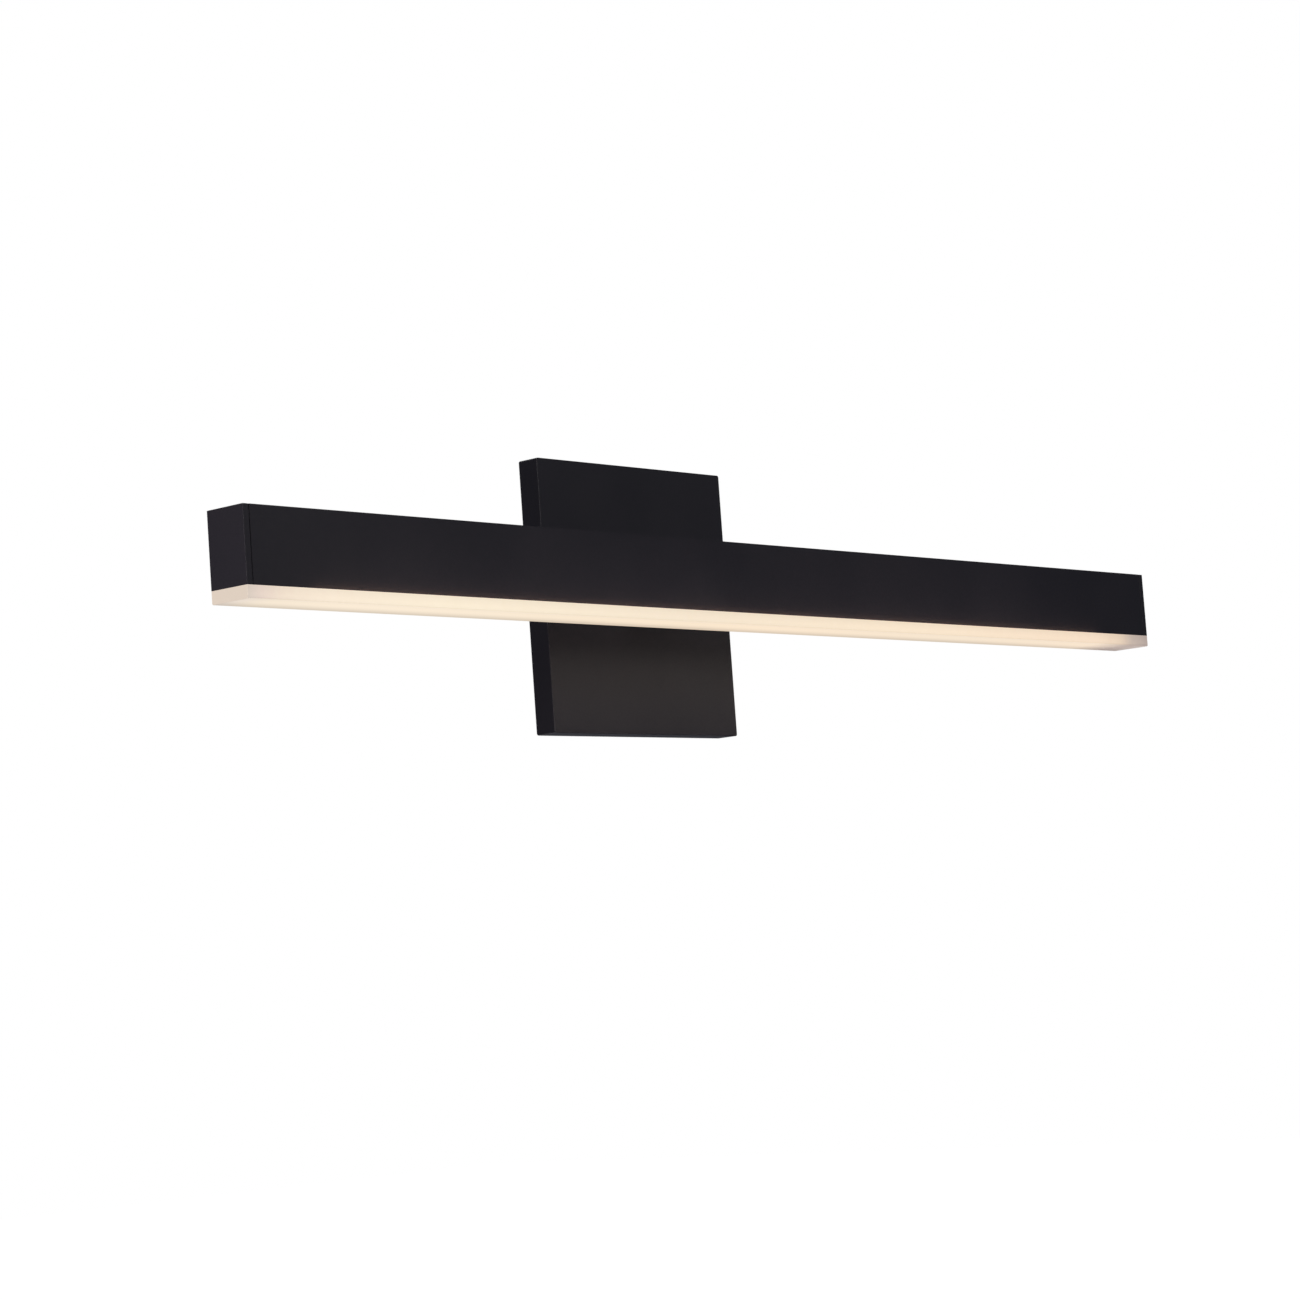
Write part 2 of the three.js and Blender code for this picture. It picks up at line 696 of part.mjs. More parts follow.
// Three push-in poles, with the fixture's leads entering on top and the supply's below.
function terminalBlock() {
  const half = terminalHalf();
  const bottom = TERMINAL_TOP - TERMINAL_HEIGHT;
  const bore = LEAD_RADIUS + 2 * FIT;
  const body = block([-half, half], [backingRear, -TERMINAL_WALL_GAP], [bottom, TERMINAL_TOP]);
  const ear = block(
    [half - FUSE, half + TERMINAL_EAR_LENGTH],
    [backingRear, backingRear + TERMINAL_EAR_THICKNESS],
    [bottom + TERMINAL_EAR_INSET, TERMINAL_TOP - TERMINAL_EAR_INSET],
  );
  const boreSpans = [
    [TERMINAL_TOP - TERMINAL_BORE_DEPTH, TERMINAL_TOP + PAST],
    [bottom - PAST, bottom + TERMINAL_BORE_DEPTH],
  ];
  const bores = [-1, 0, 1].flatMap((pole) => boreSpans.map(
    (span) => rod(Z, bore, span, [pole * TERMINAL_PITCH, leadLaneY, 0], BORE_SIDES),
  ));
  const earHole = rod(
    Y,
    TERMINAL_SCREW.shank + FIT,
    [backingRear - PAST, backingRear + TERMINAL_EAR_THICKNESS + PAST],
    [terminalEarX(), 0, terminalMiddle()],
  );
  return cut(join(body, ear), ...bores, earHole);
}

function terminalBlockScrew() {
  const place = [terminalEarX(), backingRear + TERMINAL_EAR_THICKNESS, terminalMiddle()];
  return aim(panScrew(TERMINAL_SCREW), Y, place);
}

// Where a lead enters the driver: the outermost one just clears the driver's front wall.
function supplyLaneY(pole) {
  return driverInnerFront + GROMMET_WALL + FIT + LEAD_RADIUS + (1 - pole) * leadPitch;
}

// Line, ground and neutral climb from the block, turn into the arm, leave it nested one outside the
// other, and run along the bar to the driver.
function supplyLead(pole) {
  const x = pole * leadPitch;
  const turnY = supplyLaneY(pole);
  return wire(
    [
      [pole * TERMINAL_PITCH, leadLaneY, TERMINAL_TOP - LEAD_INTO_TERMINAL],
      [pole * TERMINAL_PITCH, leadLaneY, TERMINAL_TOP + LEAD_STRAIGHT_RISE],
      [x, leadLaneY, armZ - LEAD_GATHER_DROP],
      [x, leadLaneY, armZ],
      [x, turnY, armZ],
      [driverRight + DRIVER_EAR_LENGTH, turnY, driverLeadZ],
      [driverRight - LEAD_INTO_DRIVER, turnY, driverLeadZ],
    ],
    LEAD_RADIUS,
    Math.min(LEAD_BEND, channelBushingFront - supplyLaneY(-1)),
    LEAD_STEPS,
  );
}

// ---------------------------------------------------------------- light channel

// The extrusion's section in (y, z): three outer walls, two pairs of tray ribs and a snap rib each side.
function channelSection() {
  const snapBottom = channelBottom + SNAP_OFFSET;
  const snapTop = snapBottom + SNAP_HEIGHT;
  const half = BAR_DEPTH / 2;
  const side = [
    [half, channelTop],
    [half, channelBottom],
    [innerHalf, channelBottom],
    [innerHalf, snapBottom - SNAP_DEPTH],
    [innerHalf - SNAP_DEPTH, snapBottom],
    [innerHalf - SNAP_DEPTH, snapTop],
    [innerHalf, snapTop],
    [innerHalf, lowerRibBottom],
    [ribHalf, lowerRibBottom],
    [ribHalf, trayBottom],
    [innerHalf, trayBottom],
    [innerHalf, upperRibBottom],
    [ribHalf, upperRibBottom],
    [ribHalf, upperRibTop],
    [innerHalf, upperRibTop],
    [innerHalf, innerTop],
  ];
  const mirrored = side.map(([u, z]) => [-u, z]).reverse();
  return [...side, ...mirrored].map(([u, z]) => [barMiddle + u, z]);
}

function capScrewX() {
  return channelHalf - CAP_SCREW.head - CAP_SCREW_MARGIN;
}

function lightChannel() {
  const backWall = [innerBack - FUSE, barBack + PAST];
  const capHoles = [-1, 1].map((sign) => aim(
    countersunk(CAP_SCREW, FIT),
    Y,
    [sign * capScrewX(), barBack, armZ],
  ));
  return cut(
    extrude(X, polygon(channelSection()), [-channelHalf, channelHalf]),
    ...armHoles(ARM_SCREW.shank + FIT, backWall),
    bushingHole(backWall),
    ...capHoles,
  );
}

// A thick plate over the channel's end, with a hollow spigot that enters the driver bay.
function endCap(sign) {
  const along = (from, to) => ordered(sign * from, sign * to);
  const spigotHalf = innerHalf - FIT;
  const spigotZ = [upperRibTop + FIT, innerTop - FIT];
  const spigotLength = 2 * (CAP_SCREW.head + CAP_SCREW_MARGIN);
  const pocketHalf = spigotHalf - SPIGOT_WALL;
  const plate = block(
    along(channelHalf, barHalf),
    acrossBar(-BAR_DEPTH / 2, BAR_DEPTH / 2),
    [channelBottom, channelTop],
  );
  const spigot = block(
    along(channelHalf - spigotLength, channelHalf + FUSE),
    acrossBar(-spigotHalf, spigotHalf),
    spigotZ,
  );
  const pocket = block(
    along(channelHalf - spigotLength - PAST, channelHalf),
    acrossBar(-pocketHalf, pocketHalf),
    [spigotZ[0] + SPIGOT_WALL, spigotZ[1] - SPIGOT_WALL],
  );
  const screwHole = rod(
    Y,
    CAP_SCREW.shank + FIT,
    acrossBar(pocketHalf - PAST, BAR_DEPTH / 2),
    [sign * capScrewX(), 0, armZ],
  );
  return cut(join(plate, cut(spigot, pocket)), screwHole);
}

function capScrew(sign) {
  return aim(countersunkScrew(CAP_SCREW), Y, [sign * capScrewX(), barBack, armZ]);
}

// ---------------------------------------------------------------- tray and LED boards

function outputLeadYs() {
  return [-1, 1].map((side) => barMiddle + (side * OUTPUT_LEAD_PITCH) / 2);
}

// The flat strip that carries the boards below and the driver above, and takes their heat.
function ledTray() {
  const half = channelHalf - TRAY_END_PLAY;
  const halfW = innerHalf - TRAY_PLAY;
  const through = [trayBottom - PAST, trayTop + PAST];
  const boardScrewHoles = [-1, 1].flatMap((side) => boardScrewXs.map(
    (x) => rod(Z, BOARD_SCREW.shank + FIT, through, [side * x, barMiddle, 0]),
  ));
  const driverScrewHoles = driverScrewXs.map(
    (x) => rod(Z, DRIVER_SCREW.shank + FIT, through, [x, barMiddle, 0]),
  );
  return cut(
    block([-half, half], acrossBar(-halfW, halfW), [trayBottom, trayTop]),
    ...boardScrewHoles,
    ...driverScrewHoles,
    extrude(Z, trayLeadSlot(), through),
  );
}

// The output leads' slot, long across the bar.
function trayLeadSlot() {
  const half = TRAY_LEAD_SLOT.length / 2;
  const radius = TRAY_LEAD_SLOT.width / 2;
  return roundedRectangle(
    [outputDropX - radius, outputDropX + radius],
    acrossBar(-half, half),
    radius - MERGE_DISTANCE,
  );
}

// LED places along one board, from its inner end, leaving room for screws, connector and lead holes.
function ledPlaces(side) {
  const keepOut = boardScrewXs.map((x) => side * x);
  keepOut.push(side * connectorX);
  keepOut.push(outputDropX);
  const places = [];
  for (let x = boardInnerEnd + LED_PITCH / 2; x < boardOuterEnd - LED_PITCH / 2; x += LED_PITCH) {
    if (keepOut.every((k) => Math.abs(side * x - k) > LED_KEEP_OUT)) places.push(side * x);
  }
  return places;
}

// A metal-core board with its LED packages soldered underneath.
function ledBoard(side) {
  const ends = ordered(side * boardInnerEnd, side * boardOuterEnd);
  const through = [boardBottom - PAST, trayBottom + PAST];
  const plate = block(ends, acrossBar(-boardHalf, boardHalf), [boardBottom, trayBottom]);
  const packages = ledPlaces(side).map((x) => block(
    [x - LED_LENGTH / 2, x + LED_LENGTH / 2],
    acrossBar(-LED_WIDTH / 2, LED_WIDTH / 2),
    [boardBottom - LED_HEIGHT, boardBottom + FUSE],
  ));
  const holes = boardScrewXs.map(
    (x) => rod(Z, BOARD_SCREW.shank + FIT, through, [side * x, barMiddle, 0]),
  );
  if (side < 0) {
    outputLeadYs().forEach((y) => {
      holes.push(rod(Z, OUTPUT_LEAD_RADIUS + FIT, through, [outputDropX, y, 0], BORE_SIDES));
    });
  }
  return cut(join(plate, ...packages), ...holes);
}

function boardScrews() {
  let number = 1;
  [-1, 1].forEach((side) => {
    boardScrewXs.forEach((x) => {
      const place = [side * x, barMiddle, boardBottom];
      add(`board_screw_${number}`, aim(panScrew(BOARD_SCREW), Z.clone().negate(), place), zincSteel());
      number += 1;
    });
  });
}

function jumperYs() {
  return [-1, 1].map((side) => barMiddle + (side * JUMPER_PITCH) / 2);
}

function jumperZ() {
  return boardBottom - CONNECTOR_HEIGHT / 2;
}

// A two-way wire-to-board connector, open towards the other board.
function boardConnector(side) {
  const mouth = side * (connectorX - CONNECTOR_LENGTH / 2);
  const reach = ordered(mouth - side * PAST, mouth + side * (CONNECTOR_LENGTH - CONNECTOR_BACK_WALL));
  const body = block(
    ordered(mouth, mouth + side * CONNECTOR_LENGTH),
    acrossBar(-CONNECTOR_WIDTH / 2, CONNECTOR_WIDTH / 2),
    [boardBottom - CONNECTOR_HEIGHT, boardBottom],
  );
  const sockets = jumperYs().map(
    (y) => rod(X, JUMPER_RADIUS + FIT, reach, [0, y, jumperZ()], BORE_SIDES),
  );
  return cut(body, ...sockets);
}

function jumperLead(y) {
  const end = connectorX - CONNECTOR_LENGTH / 2 + JUMPER_REACH;
  const corners = [-end, 0, end].map((x) => [x, y, jumperZ()]);
  return wire(corners, JUMPER_RADIUS, JUMPER_RADIUS, JUMPER_STEPS);
}

// ---------------------------------------------------------------- diffuser

// A frosted trough under the bar, closed at both ends, with two barbed legs that snap into the channel.
function diffuser() {
  const half = BAR_DEPTH / 2;
  const legOuter = innerHalf - SNAP_DEPTH - SNAP_CLEARANCE;
  const legInner = legOuter - LEG_THICKNESS;
  const barbBottom = channelBottom + SNAP_OFFSET + SNAP_HEIGHT + SNAP_CLEARANCE;
  const legTop = channelBottom + LEG_HEIGHT;
  const radius = DIFFUSER_EDGE_RADIUS;
  const outline = new THREE.Shape();
  outline.moveTo(barMiddle - half, channelBottom);
  outline.lineTo(barMiddle - half, diffuserBottom + radius);
  outline.absarc(barMiddle - half + radius, diffuserBottom + radius, radius, Math.PI, Math.PI * 1.5);
  outline.lineTo(barMiddle + half - radius, diffuserBottom);
  outline.absarc(barMiddle + half - radius, diffuserBottom + radius, radius, -Math.PI / 2, 0);
  outline.lineTo(barMiddle + half, channelBottom);
  const slab = extrude(X, outline, [-barHalf, barHalf]);
  const cavityEnd = barHalf - DIFFUSER_END_WALL;
  const cavity = block(
    [-cavityEnd, cavityEnd],
    acrossBar(-legInner, legInner),
    [diffuserBottom + DIFFUSER_FLOOR, channelBottom + PAST],
  );
  const legEnd = channelHalf - FIT;
  const legs = [-1, 1].map((side) => extrude(X, polygon([
    [legInner, channelBottom - FUSE],
    [legOuter, channelBottom - FUSE],
    [legOuter, barbBottom],
    [legOuter + BARB_DEPTH, barbBottom],
    [legOuter, legTop],
    [legInner, legTop],
  ].map(([u, z]) => [barMiddle + side * u, z])), [-legEnd, legEnd]));
  return join(cut(slab, cavity), ...legs);
}

// ---------------------------------------------------------------- LED driver

function leadWindow(x, middleY, width) {
  return block(
    x,
    [middleY - width / 2, middleY + width / 2],
    [driverLeadZ - LEAD_RADIUS - GROMMET_WALL - FIT, driverLidBottom + PAST],
  );
}

function inputWindowWidth() {
  return 2 * (leadPitch + LEAD_RADIUS + GROMMET_WALL + FIT);
}

function outputWindowWidth() {
  return OUTPUT_LEAD_PITCH + 2 * (OUTPUT_LEAD_RADIUS + GROMMET_WALL + FIT);
}

// An open-topped tub with a screw ear at each end, board ledges, and a window for the leads at each end.
function driverBase() {
  const inner = driverHalf - DRIVER_WALL;
  const x = [driverLeft, driverRight];
  const insideX = [driverLeft + DRIVER_WALL, driverRight - DRIVER_WALL];
  const tub = cut(
    block(x, acrossBar(-driverHalf, driverHalf), [trayTop, driverLidBottom]),
    block(insideX, acrossBar(-inner, inner), [driverFloor, driverLidBottom + PAST]),
    leadWindow([driverRight - DRIVER_WALL - PAST, driverRight + PAST], supplyLaneY(0), inputWindowWidth()),
    leadWindow([driverLeft - PAST, driverLeft + DRIVER_WALL + PAST], barMiddle, outputWindowWidth()),
  );
  const ledges = [-1, 1].map((side) => block(
    [insideX[0] - FUSE, insideX[1] + FUSE],
    acrossBar(...ordered(side * (inner - DRIVER_LEDGE), side * (inner + FUSE))),
    [driverFloor - FUSE, driverFloor + DRIVER_BOARD_LIFT],
  ));
  const earZ = [trayTop, trayTop + DRIVER_EAR_THICKNESS];
  const ears = [
    block([driverLeft - DRIVER_EAR_LENGTH, driverLeft + FUSE], acrossBar(-driverHalf, driverHalf), earZ),
    block([driverRight - FUSE, driverRight + DRIVER_EAR_LENGTH], acrossBar(-driverHalf, driverHalf), earZ),
  ];
  const holes = driverScrewXs.map(
    (at) => rod(Z, DRIVER_SCREW.shank + FIT, [trayTop - PAST, earZ[1] + PAST], [at, barMiddle, 0]),
  );
  return cut(join(tub, ...ledges, ...ears), ...holes);
}

// A flat lid with a lip along each side that drops inside the tub.
function driverCover() {
  const lipX = [driverLeft + DRIVER_WALL + FIT, driverRight - DRIVER_WALL - FIT];
  const lipZ = [driverLidBottom - DRIVER_LIP.drop, driverLidBottom + FUSE];
  const lipInner = driverBoardHalf - DRIVER_LIP.thickness;
  const lid = block(
    [driverLeft, driverRight],
    acrossBar(-driverHalf, driverHalf),
    [driverLidBottom, driverTop],
  );
  const lips = [-1, 1].map((side) => block(
    lipX,
    acrossBar(...ordered(side * lipInner, side * driverBoardHalf)),
    lipZ,
  ));
  return join(lid, ...lips);
}

function driverBoard() {
  const plate = block(
    [driverLeft + DRIVER_WALL + FIT, driverRight - DRIVER_WALL - FIT],
    acrossBar(-driverBoardHalf, driverBoardHalf),
    [driverBoardTop - DRIVER_BOARD_THICKNESS, driverBoardTop],
  );
  const chips = DRIVER_CHIPS.map(({ at, length, width, height }) => block(
    [driverLeft + at - length / 2, driverLeft + at + length / 2],
    acrossBar(-width / 2, width / 2),
    [driverBoardTop - FUSE, driverBoardTop + height],
  ));
  return join(plate, ...chips);
}

// A wound bobbin inside its ferrite core.
function driverTransformer() {
  const x = driverLeft + TRANSFORMER.at;
  const coreHalf = driverBoardHalf - TRANSFORMER.coreInset;
  const windingHalf = driverBoardHalf - WINDING.inset;
  const windingBottom = driverBoardTop + WINDING.lift;
  const core = block(
    [x - TRANSFORMER.coreLength / 2, x + TRANSFORMER.coreLength / 2],
    acrossBar(-coreHalf, coreHalf),
    [driverBoardTop, driverBoardTop + TRANSFORMER.coreHeight],
  );
  const winding = block(
    [x - WINDING.length / 2, x + WINDING.length / 2],
    acrossBar(-windingHalf, windingHalf),
    [windingBottom, windingBottom + WINDING.height],
  );
  return join(core, winding);
}

// An electrolytic capacitor lying on its side.
function driverCapacitor() {
  const { at, radius, length, rim } = CAPACITOR;
  const half = length / 2;
  const can = turned([
    [0, -half],
    [radius - rim, -half],
    [radius, rim - half],
    [radius, half - rim],
    [radius - rim, half],
    [0, half],
  ]);
  return aim(can, X, [driverLeft + at, barMiddle, driverBoardTop + radius]);
}

// A toroidal filter choke lying flat.
function driverChoke() {
  const outer = driverBoardHalf - CHOKE.inset;
  const inner = outer - CHOKE.ring;
  const { rim, height } = CHOKE;
  const coil = turned([
    [inner, rim],
    [inner + rim, 0],
    [outer - rim, 0],
    [outer, rim],
    [outer, height - rim],
    [outer - rim, height],
    [inner + rim, height],
    [inner, height - rim],
    [inner, rim],
  ]);
  return aim(coil, Z, [driverLeft + CHOKE.at, barMiddle, driverBoardTop]);
}

// A rubber seal that fills a lead window, with a bore for each lead.
function leadGrommet(x, width, leadYs, radius) {
  const middleY = leadYs.reduce((sum, y) => sum + y, 0) / leadYs.length;
  const body = block(
    x,
    [middleY - width / 2 + FIT, middleY + width / 2 - FIT],
    [driverLeadZ - LEAD_RADIUS - GROMMET_WALL, driverLidBottom - FIT],
  );
  const through = [x[0] - PAST, x[1] + PAST];
  const bores = leadYs.map(
    (y) => rod(X, radius + FIT / 2, through, [0, y, driverLeadZ], BORE_SIDES),
  );
  return cut(body, ...bores);
}

function inputGrommet() {
  const ys = [-1, 0, 1].map((pole) => supplyLaneY(pole));
  const x = [driverRight - DRIVER_WALL, driverRight + GROMMET_LIP];
  return leadGrommet(x, inputWindowWidth(), ys, LEAD_RADIUS);
}

function outputGrommet() {
  const x = [driverLeft - GROMMET_LIP, driverLeft + DRIVER_WALL];
  return leadGrommet(x, outputWindowWidth(), outputLeadYs(), OUTPUT_LEAD_RADIUS);
}

function driverScrew(x) {
  return aim(panScrew(DRIVER_SCREW), Z, [x, barMiddle, trayTop + DRIVER_EAR_THICKNESS]);
}

// From the driver's end the two output leads turn down through the tray to the left board.
function outputLead(y) {
  const corners = [
    [driverLeft + OUTPUT_LEAD_INTO_DRIVER, y, driverLeadZ],
    [outputDropX, y, driverLeadZ],
    [outputDropX, y, boardBottom - OUTPUT_LEAD_TAIL],
  ];
  return wire(corners, OUTPUT_LEAD_RADIUS, OUTPUT_LEAD_BEND, OUTPUT_LEAD_STEPS);
}

// ---------------------------------------------------------------- the whole light

function addCanopy() {
  add('canopy', canopy(), blackPowderCoat());
  add('wall_bracket', wallBracket(), zincSteel());
  canopyScrews();
  add('ground_screw', groundScrew(), greenScrew());
  add('terminal_block', terminalBlock(), whitePlastic());
  add('terminal_block_screw', terminalBlockScrew(), zincSteel());
}

function addArm() {
  add('standoff_arm', standoffArm(), blackPowderCoat());
  add('arm_backing_plate', armBackingPlate(), zincSteel());
  add('arm_nut_plate', armNutPlate(), zincSteel());
  armScrews();
  add('canopy_bushing', aim(bushing(backingRear - canopyFace), Y, [0, backingRear, armZ]), blackRubber());
  const towardsFront = Y.clone().negate();
  add(
    'channel_bushing',
    aim(bushing(barBack - nutPlateFront), towardsFront, [0, nutPlateFront, armZ]),
    blackRubber(),
  );
}

function addLeads() {
  add('lead_line', supplyLead(-1), wireInsulation(0x1a1a1a));
  add('lead_ground', supplyLead(0), wireInsulation(0x2f8b45));
  add('lead_neutral', supplyLead(1), wireInsulation(0xe8e6e0));
  const [frontY, backY] = outputLeadYs();
  add('output_lead_positive', outputLead(frontY), wireInsulation(0xb3231f));
  add('output_lead_negative', outputLead(backY), wireInsulation(0x1a1a1a));
}

function addBar() {
  add('light_channel', lightChannel(), blackPowderCoat());
  [['left', -1], ['right', 1]].forEach(([side, sign]) => {
    add(`end_cap_${side}`, endCap(sign), blackPowderCoat());
    add(`end_cap_screw_${side}`, capScrew(sign), blackPowderCoat());
    add(`led_board_${side}`, ledBoard(sign), whiteBoard());
    add(`board_connector_${side}`, boardConnector(sign), whitePlastic());
  });
  add('led_tray', ledTray(), millAluminium());
  boardScrews();
  const [frontY, backY] = jumperYs();
  add('jumper_lead_positive', jumperLead(frontY), wireInsulation(0xb3231f));
  add('jumper_lead_negative', jumperLead(backY), wireInsulation(0x1a1a1a));
  add('diffuser', diffuser(), frostedAcrylic());
}

function addDriver() {
  add('driver_base', driverBase(), blackPlastic());
  add('driver_cover', driverCover(), blackPlastic());
  add('driver_board', driverBoard(), greenBoard());
  add('driver_transformer', driverTransformer(), ferriteAndTape());
  add('driver_capacitor', driverCapacitor(), blackPlastic());
  add('driver_choke', driverChoke(), ferriteAndTape());
  add('driver_input_grommet', inputGrommet(), blackRubber());
  add('driver_output_grommet', outputGrommet(), blackRubber());
  add('driver_screw_left', driverScrew(driverScrewXs[0]), zincSteel());
  add('driver_screw_right', driverScrew(driverScrewXs[1]), zincSteel());
}

addCanopy();
addArm();
addLeads();
addBar();
addDriver();

export default light;
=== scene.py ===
import json
import math
from collections import namedtuple

import bmesh
import bpy
from mathutils import Matrix, Vector

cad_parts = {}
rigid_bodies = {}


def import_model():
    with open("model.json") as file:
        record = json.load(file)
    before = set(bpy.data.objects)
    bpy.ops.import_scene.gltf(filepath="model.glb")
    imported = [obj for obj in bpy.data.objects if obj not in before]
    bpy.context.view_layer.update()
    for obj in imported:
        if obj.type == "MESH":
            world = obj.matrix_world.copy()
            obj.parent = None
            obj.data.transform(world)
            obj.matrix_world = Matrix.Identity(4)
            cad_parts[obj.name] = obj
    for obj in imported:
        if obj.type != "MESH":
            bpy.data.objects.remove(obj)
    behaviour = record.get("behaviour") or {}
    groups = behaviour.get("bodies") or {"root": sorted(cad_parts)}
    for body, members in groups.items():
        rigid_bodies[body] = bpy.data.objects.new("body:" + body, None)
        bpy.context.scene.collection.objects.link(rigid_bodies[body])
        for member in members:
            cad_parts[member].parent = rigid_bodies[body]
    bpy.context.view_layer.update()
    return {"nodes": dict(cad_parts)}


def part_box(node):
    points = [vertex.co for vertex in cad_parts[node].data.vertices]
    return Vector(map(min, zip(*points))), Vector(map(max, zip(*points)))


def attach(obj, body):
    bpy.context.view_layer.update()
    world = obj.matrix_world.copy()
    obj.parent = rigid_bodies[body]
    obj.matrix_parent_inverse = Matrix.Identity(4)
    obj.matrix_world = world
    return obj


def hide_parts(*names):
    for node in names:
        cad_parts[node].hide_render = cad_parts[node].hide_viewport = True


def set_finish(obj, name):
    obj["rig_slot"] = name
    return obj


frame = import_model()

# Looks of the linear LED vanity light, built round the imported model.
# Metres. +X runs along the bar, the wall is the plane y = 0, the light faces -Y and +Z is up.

# ---------------------------------------------------------------- camera, lights and floor

# degrees for the angles, metres for the distances, millimetres for the lens and its sensor
CAMERA_AZIMUTH = -48.156
CAMERA_ELEVATION = -5.879
CAMERA_ROLL = -4.030
CAMERA_DISTANCE = 1.60927
CAMERA_AIM = Vector((0.00962, -0.00728, -0.02243))
CAMERA_LENS = 95.91
CAMERA_SENSOR = 36.0

FLOOR_DROP = 2.0
FLOOR_SIZE = 60.0
# how wide the floor's faint clouds are, in millimetres
FLOOR_CLOUD = 400.0
FLOOR_PALE = (0.96, 0.96, 0.96, 1.0)
FLOOR_WHITE = (1.0, 1.0, 1.0, 1.0)
BACKDROP_WHITE = (1.0, 1.0, 1.0, 1.0)
FILL_COLOUR = (0.72, 0.76, 1.0, 1.0)
FILL_STRENGTH = 0.104

# place, aim, width and height in metres, power in watts, colour
SOFTBOXES = {
    "key_softbox": ((-0.6, -1.9, 0.9), (0.0, -0.07, 0.0), (1.4, 0.9), 27.3, (1.0, 0.98, 0.96)),
    "back_softbox": ((0.6, 1.6, 0.6), (0.0, 0.0, 0.0), (1.2, 0.9), 20.0, (1.0, 0.99, 0.97)),
    "top_softbox": ((0.2, 0.2, 1.8), (0.0, 0.0, 0.0), (1.6, 1.2), 12.0, (1.0, 1.0, 1.0)),
    "side_softbox": ((1.8, 0.4, 0.3), (0.0, 0.0, 0.0), (1.0, 0.8), 14.0, (1.0, 0.99, 0.98)),
}
# lights that fall on the dark coat and leave the lit diffuser alone: a card at the left end, a wide
# warm wash on the bar's front, and a softbox low behind it for what faces down
COAT_LIGHTS = {
    "end_card": ((-0.62, -0.10, -0.05), (-0.3, -0.07, 0.0), (0.16, 0.16), 0.87, (1.0, 0.89, 0.96)),
    "wash": ((0.0, -0.115, -0.035), (0.0, -0.085, 0.0), (0.50, 0.006), 0.050, (1.0, 0.78, 0.78)),
    "under_softbox": ((0.3, 0.5, -1.5), (0.0, 0.0, -0.06), (1.2, 0.9), 10.0, (1.0, 0.97, 1.0)),
}
# the halo of the lit acrylic on the channel alone, along the bottom edge of its front
BAR_LIGHTS = {
    "halo": ((-0.005, -0.0875, -0.018), (-0.005, 0.0, -0.018), (0.53, 0.003), 0.030, (1.0, 0.62, 0.38)),
}
# the light that the diffuser throws, from a lamp just under it
GLOW_POWER = 0.104
GLOW_COLOUR = (1.0, 0.92, 0.86)
GLOW_GAP = 0.0004

# ---------------------------------------------------------------- shape settings

METRE_TO_MM = 1000.0
ALONG_Y = Vector((0, 1, 0))
WELD_DISTANCE = 1e-6
FLAT_ANGLE = math.radians(0.5)
SHARP_ANGLE = math.radians(25)
SMOOTH_ANGLE = math.radians(35)
QUAD_ANGLE = math.radians(60)
EDGE_STEPS = 3
CORNER_STEPS = 6
COLUMNS = 32

# millimetres
CHANNEL_EDGE = 0.3
CANOPY_CORNER = 1.0
CANOPY_FRONT_EDGE = 0.2
CANOPY_RIM_EDGE = 0.35
CANOPY_INNER_CORNER = 0.4
HOLE_CLEARANCE = 0.3
SEAM = 0.3
# half width, half height and corner radius, then how far each outline shrinks and stands out
MARKER_SIZE = (1.7, 2.6, 0.6)
MARKER_PROFILE = ((0.0, -1.0), (0.0, 0.25), (0.12, 0.45), (0.4, 0.55))
THREAD_LENGTH = 15.0
HEAD_CHAMFER = 0.15

# how many walls deep a hole's cutter is
DRILL_WALLS = 4
# how far out a smoothed tube lies, as a share of the tube that it was smoothed from
WIRE_LIMIT_SHARE = 0.902

# a screw's thread: its pitch as a share of the shank's radius, its depth as a share of the pitch,
# and how many rows of points one turn takes
THREAD_PITCH_SHARE = 0.35
THREAD_DEPTH_SHARE = 0.55
THREAD_ROWS = 4
# a screw's head: its widest part starts at this share of its radius, and its flat crown and the
# height of its rim are shares of its radius and of its height
HEAD_RIM_SHARE = 0.98
HEAD_FLAT_SHARE = 0.45
HEAD_RIM_RISE = 0.35
HEAD_STEPS = 6
# a cross recess, in shares of the head's radius, and how far it narrows at its bottom
RECESS_ARM = 0.5
RECESS_BLADE = 0.11
RECESS_DEPTH = 0.42
RECESS_TAPER = 0.35

# ---------------------------------------------------------------- finishes

# the band of Blender's noise that is drawn out to run from 0 to 1
NOISE_LOW = 0.3
NOISE_HIGH = 0.7
# how squarely a face must look one way for one side's glow to fade in, and to be all there is
FACING_STARTS = 0.4
FACING_FULL = 0.9


def mm(value):
    """Millimetres in metres."""
    return value / METRE_TO_MM


def new_material(name, roughness, metallic=0.0, specular=0.5):
    """A material with a plain Principled shader, its node tree and that shader."""
    material = bpy.data.materials.new(name)
    material.use_nodes = True
    shader = material.node_tree.nodes["Principled BSDF"]
    shader.inputs["Roughness"].default_value = roughness
    shader.inputs["Metallic"].default_value = metallic
    shader.inputs["Specular IOR Level"].default_value = specular
    return material, material.node_tree, shader


def node(tree, kind, inputs=None, **settings):
    """A node with its settings made and its inputs set to a value or joined to a socket."""
    made = tree.nodes.new(kind)
    for key, value in settings.items():
        setattr(made, key, value)
    for key, value in (inputs or {}).items():
        if isinstance(value, bpy.types.NodeSocket):
            tree.links.new(value, made.inputs[key])
        else:
            made.inputs[key].default_value = value
    return made


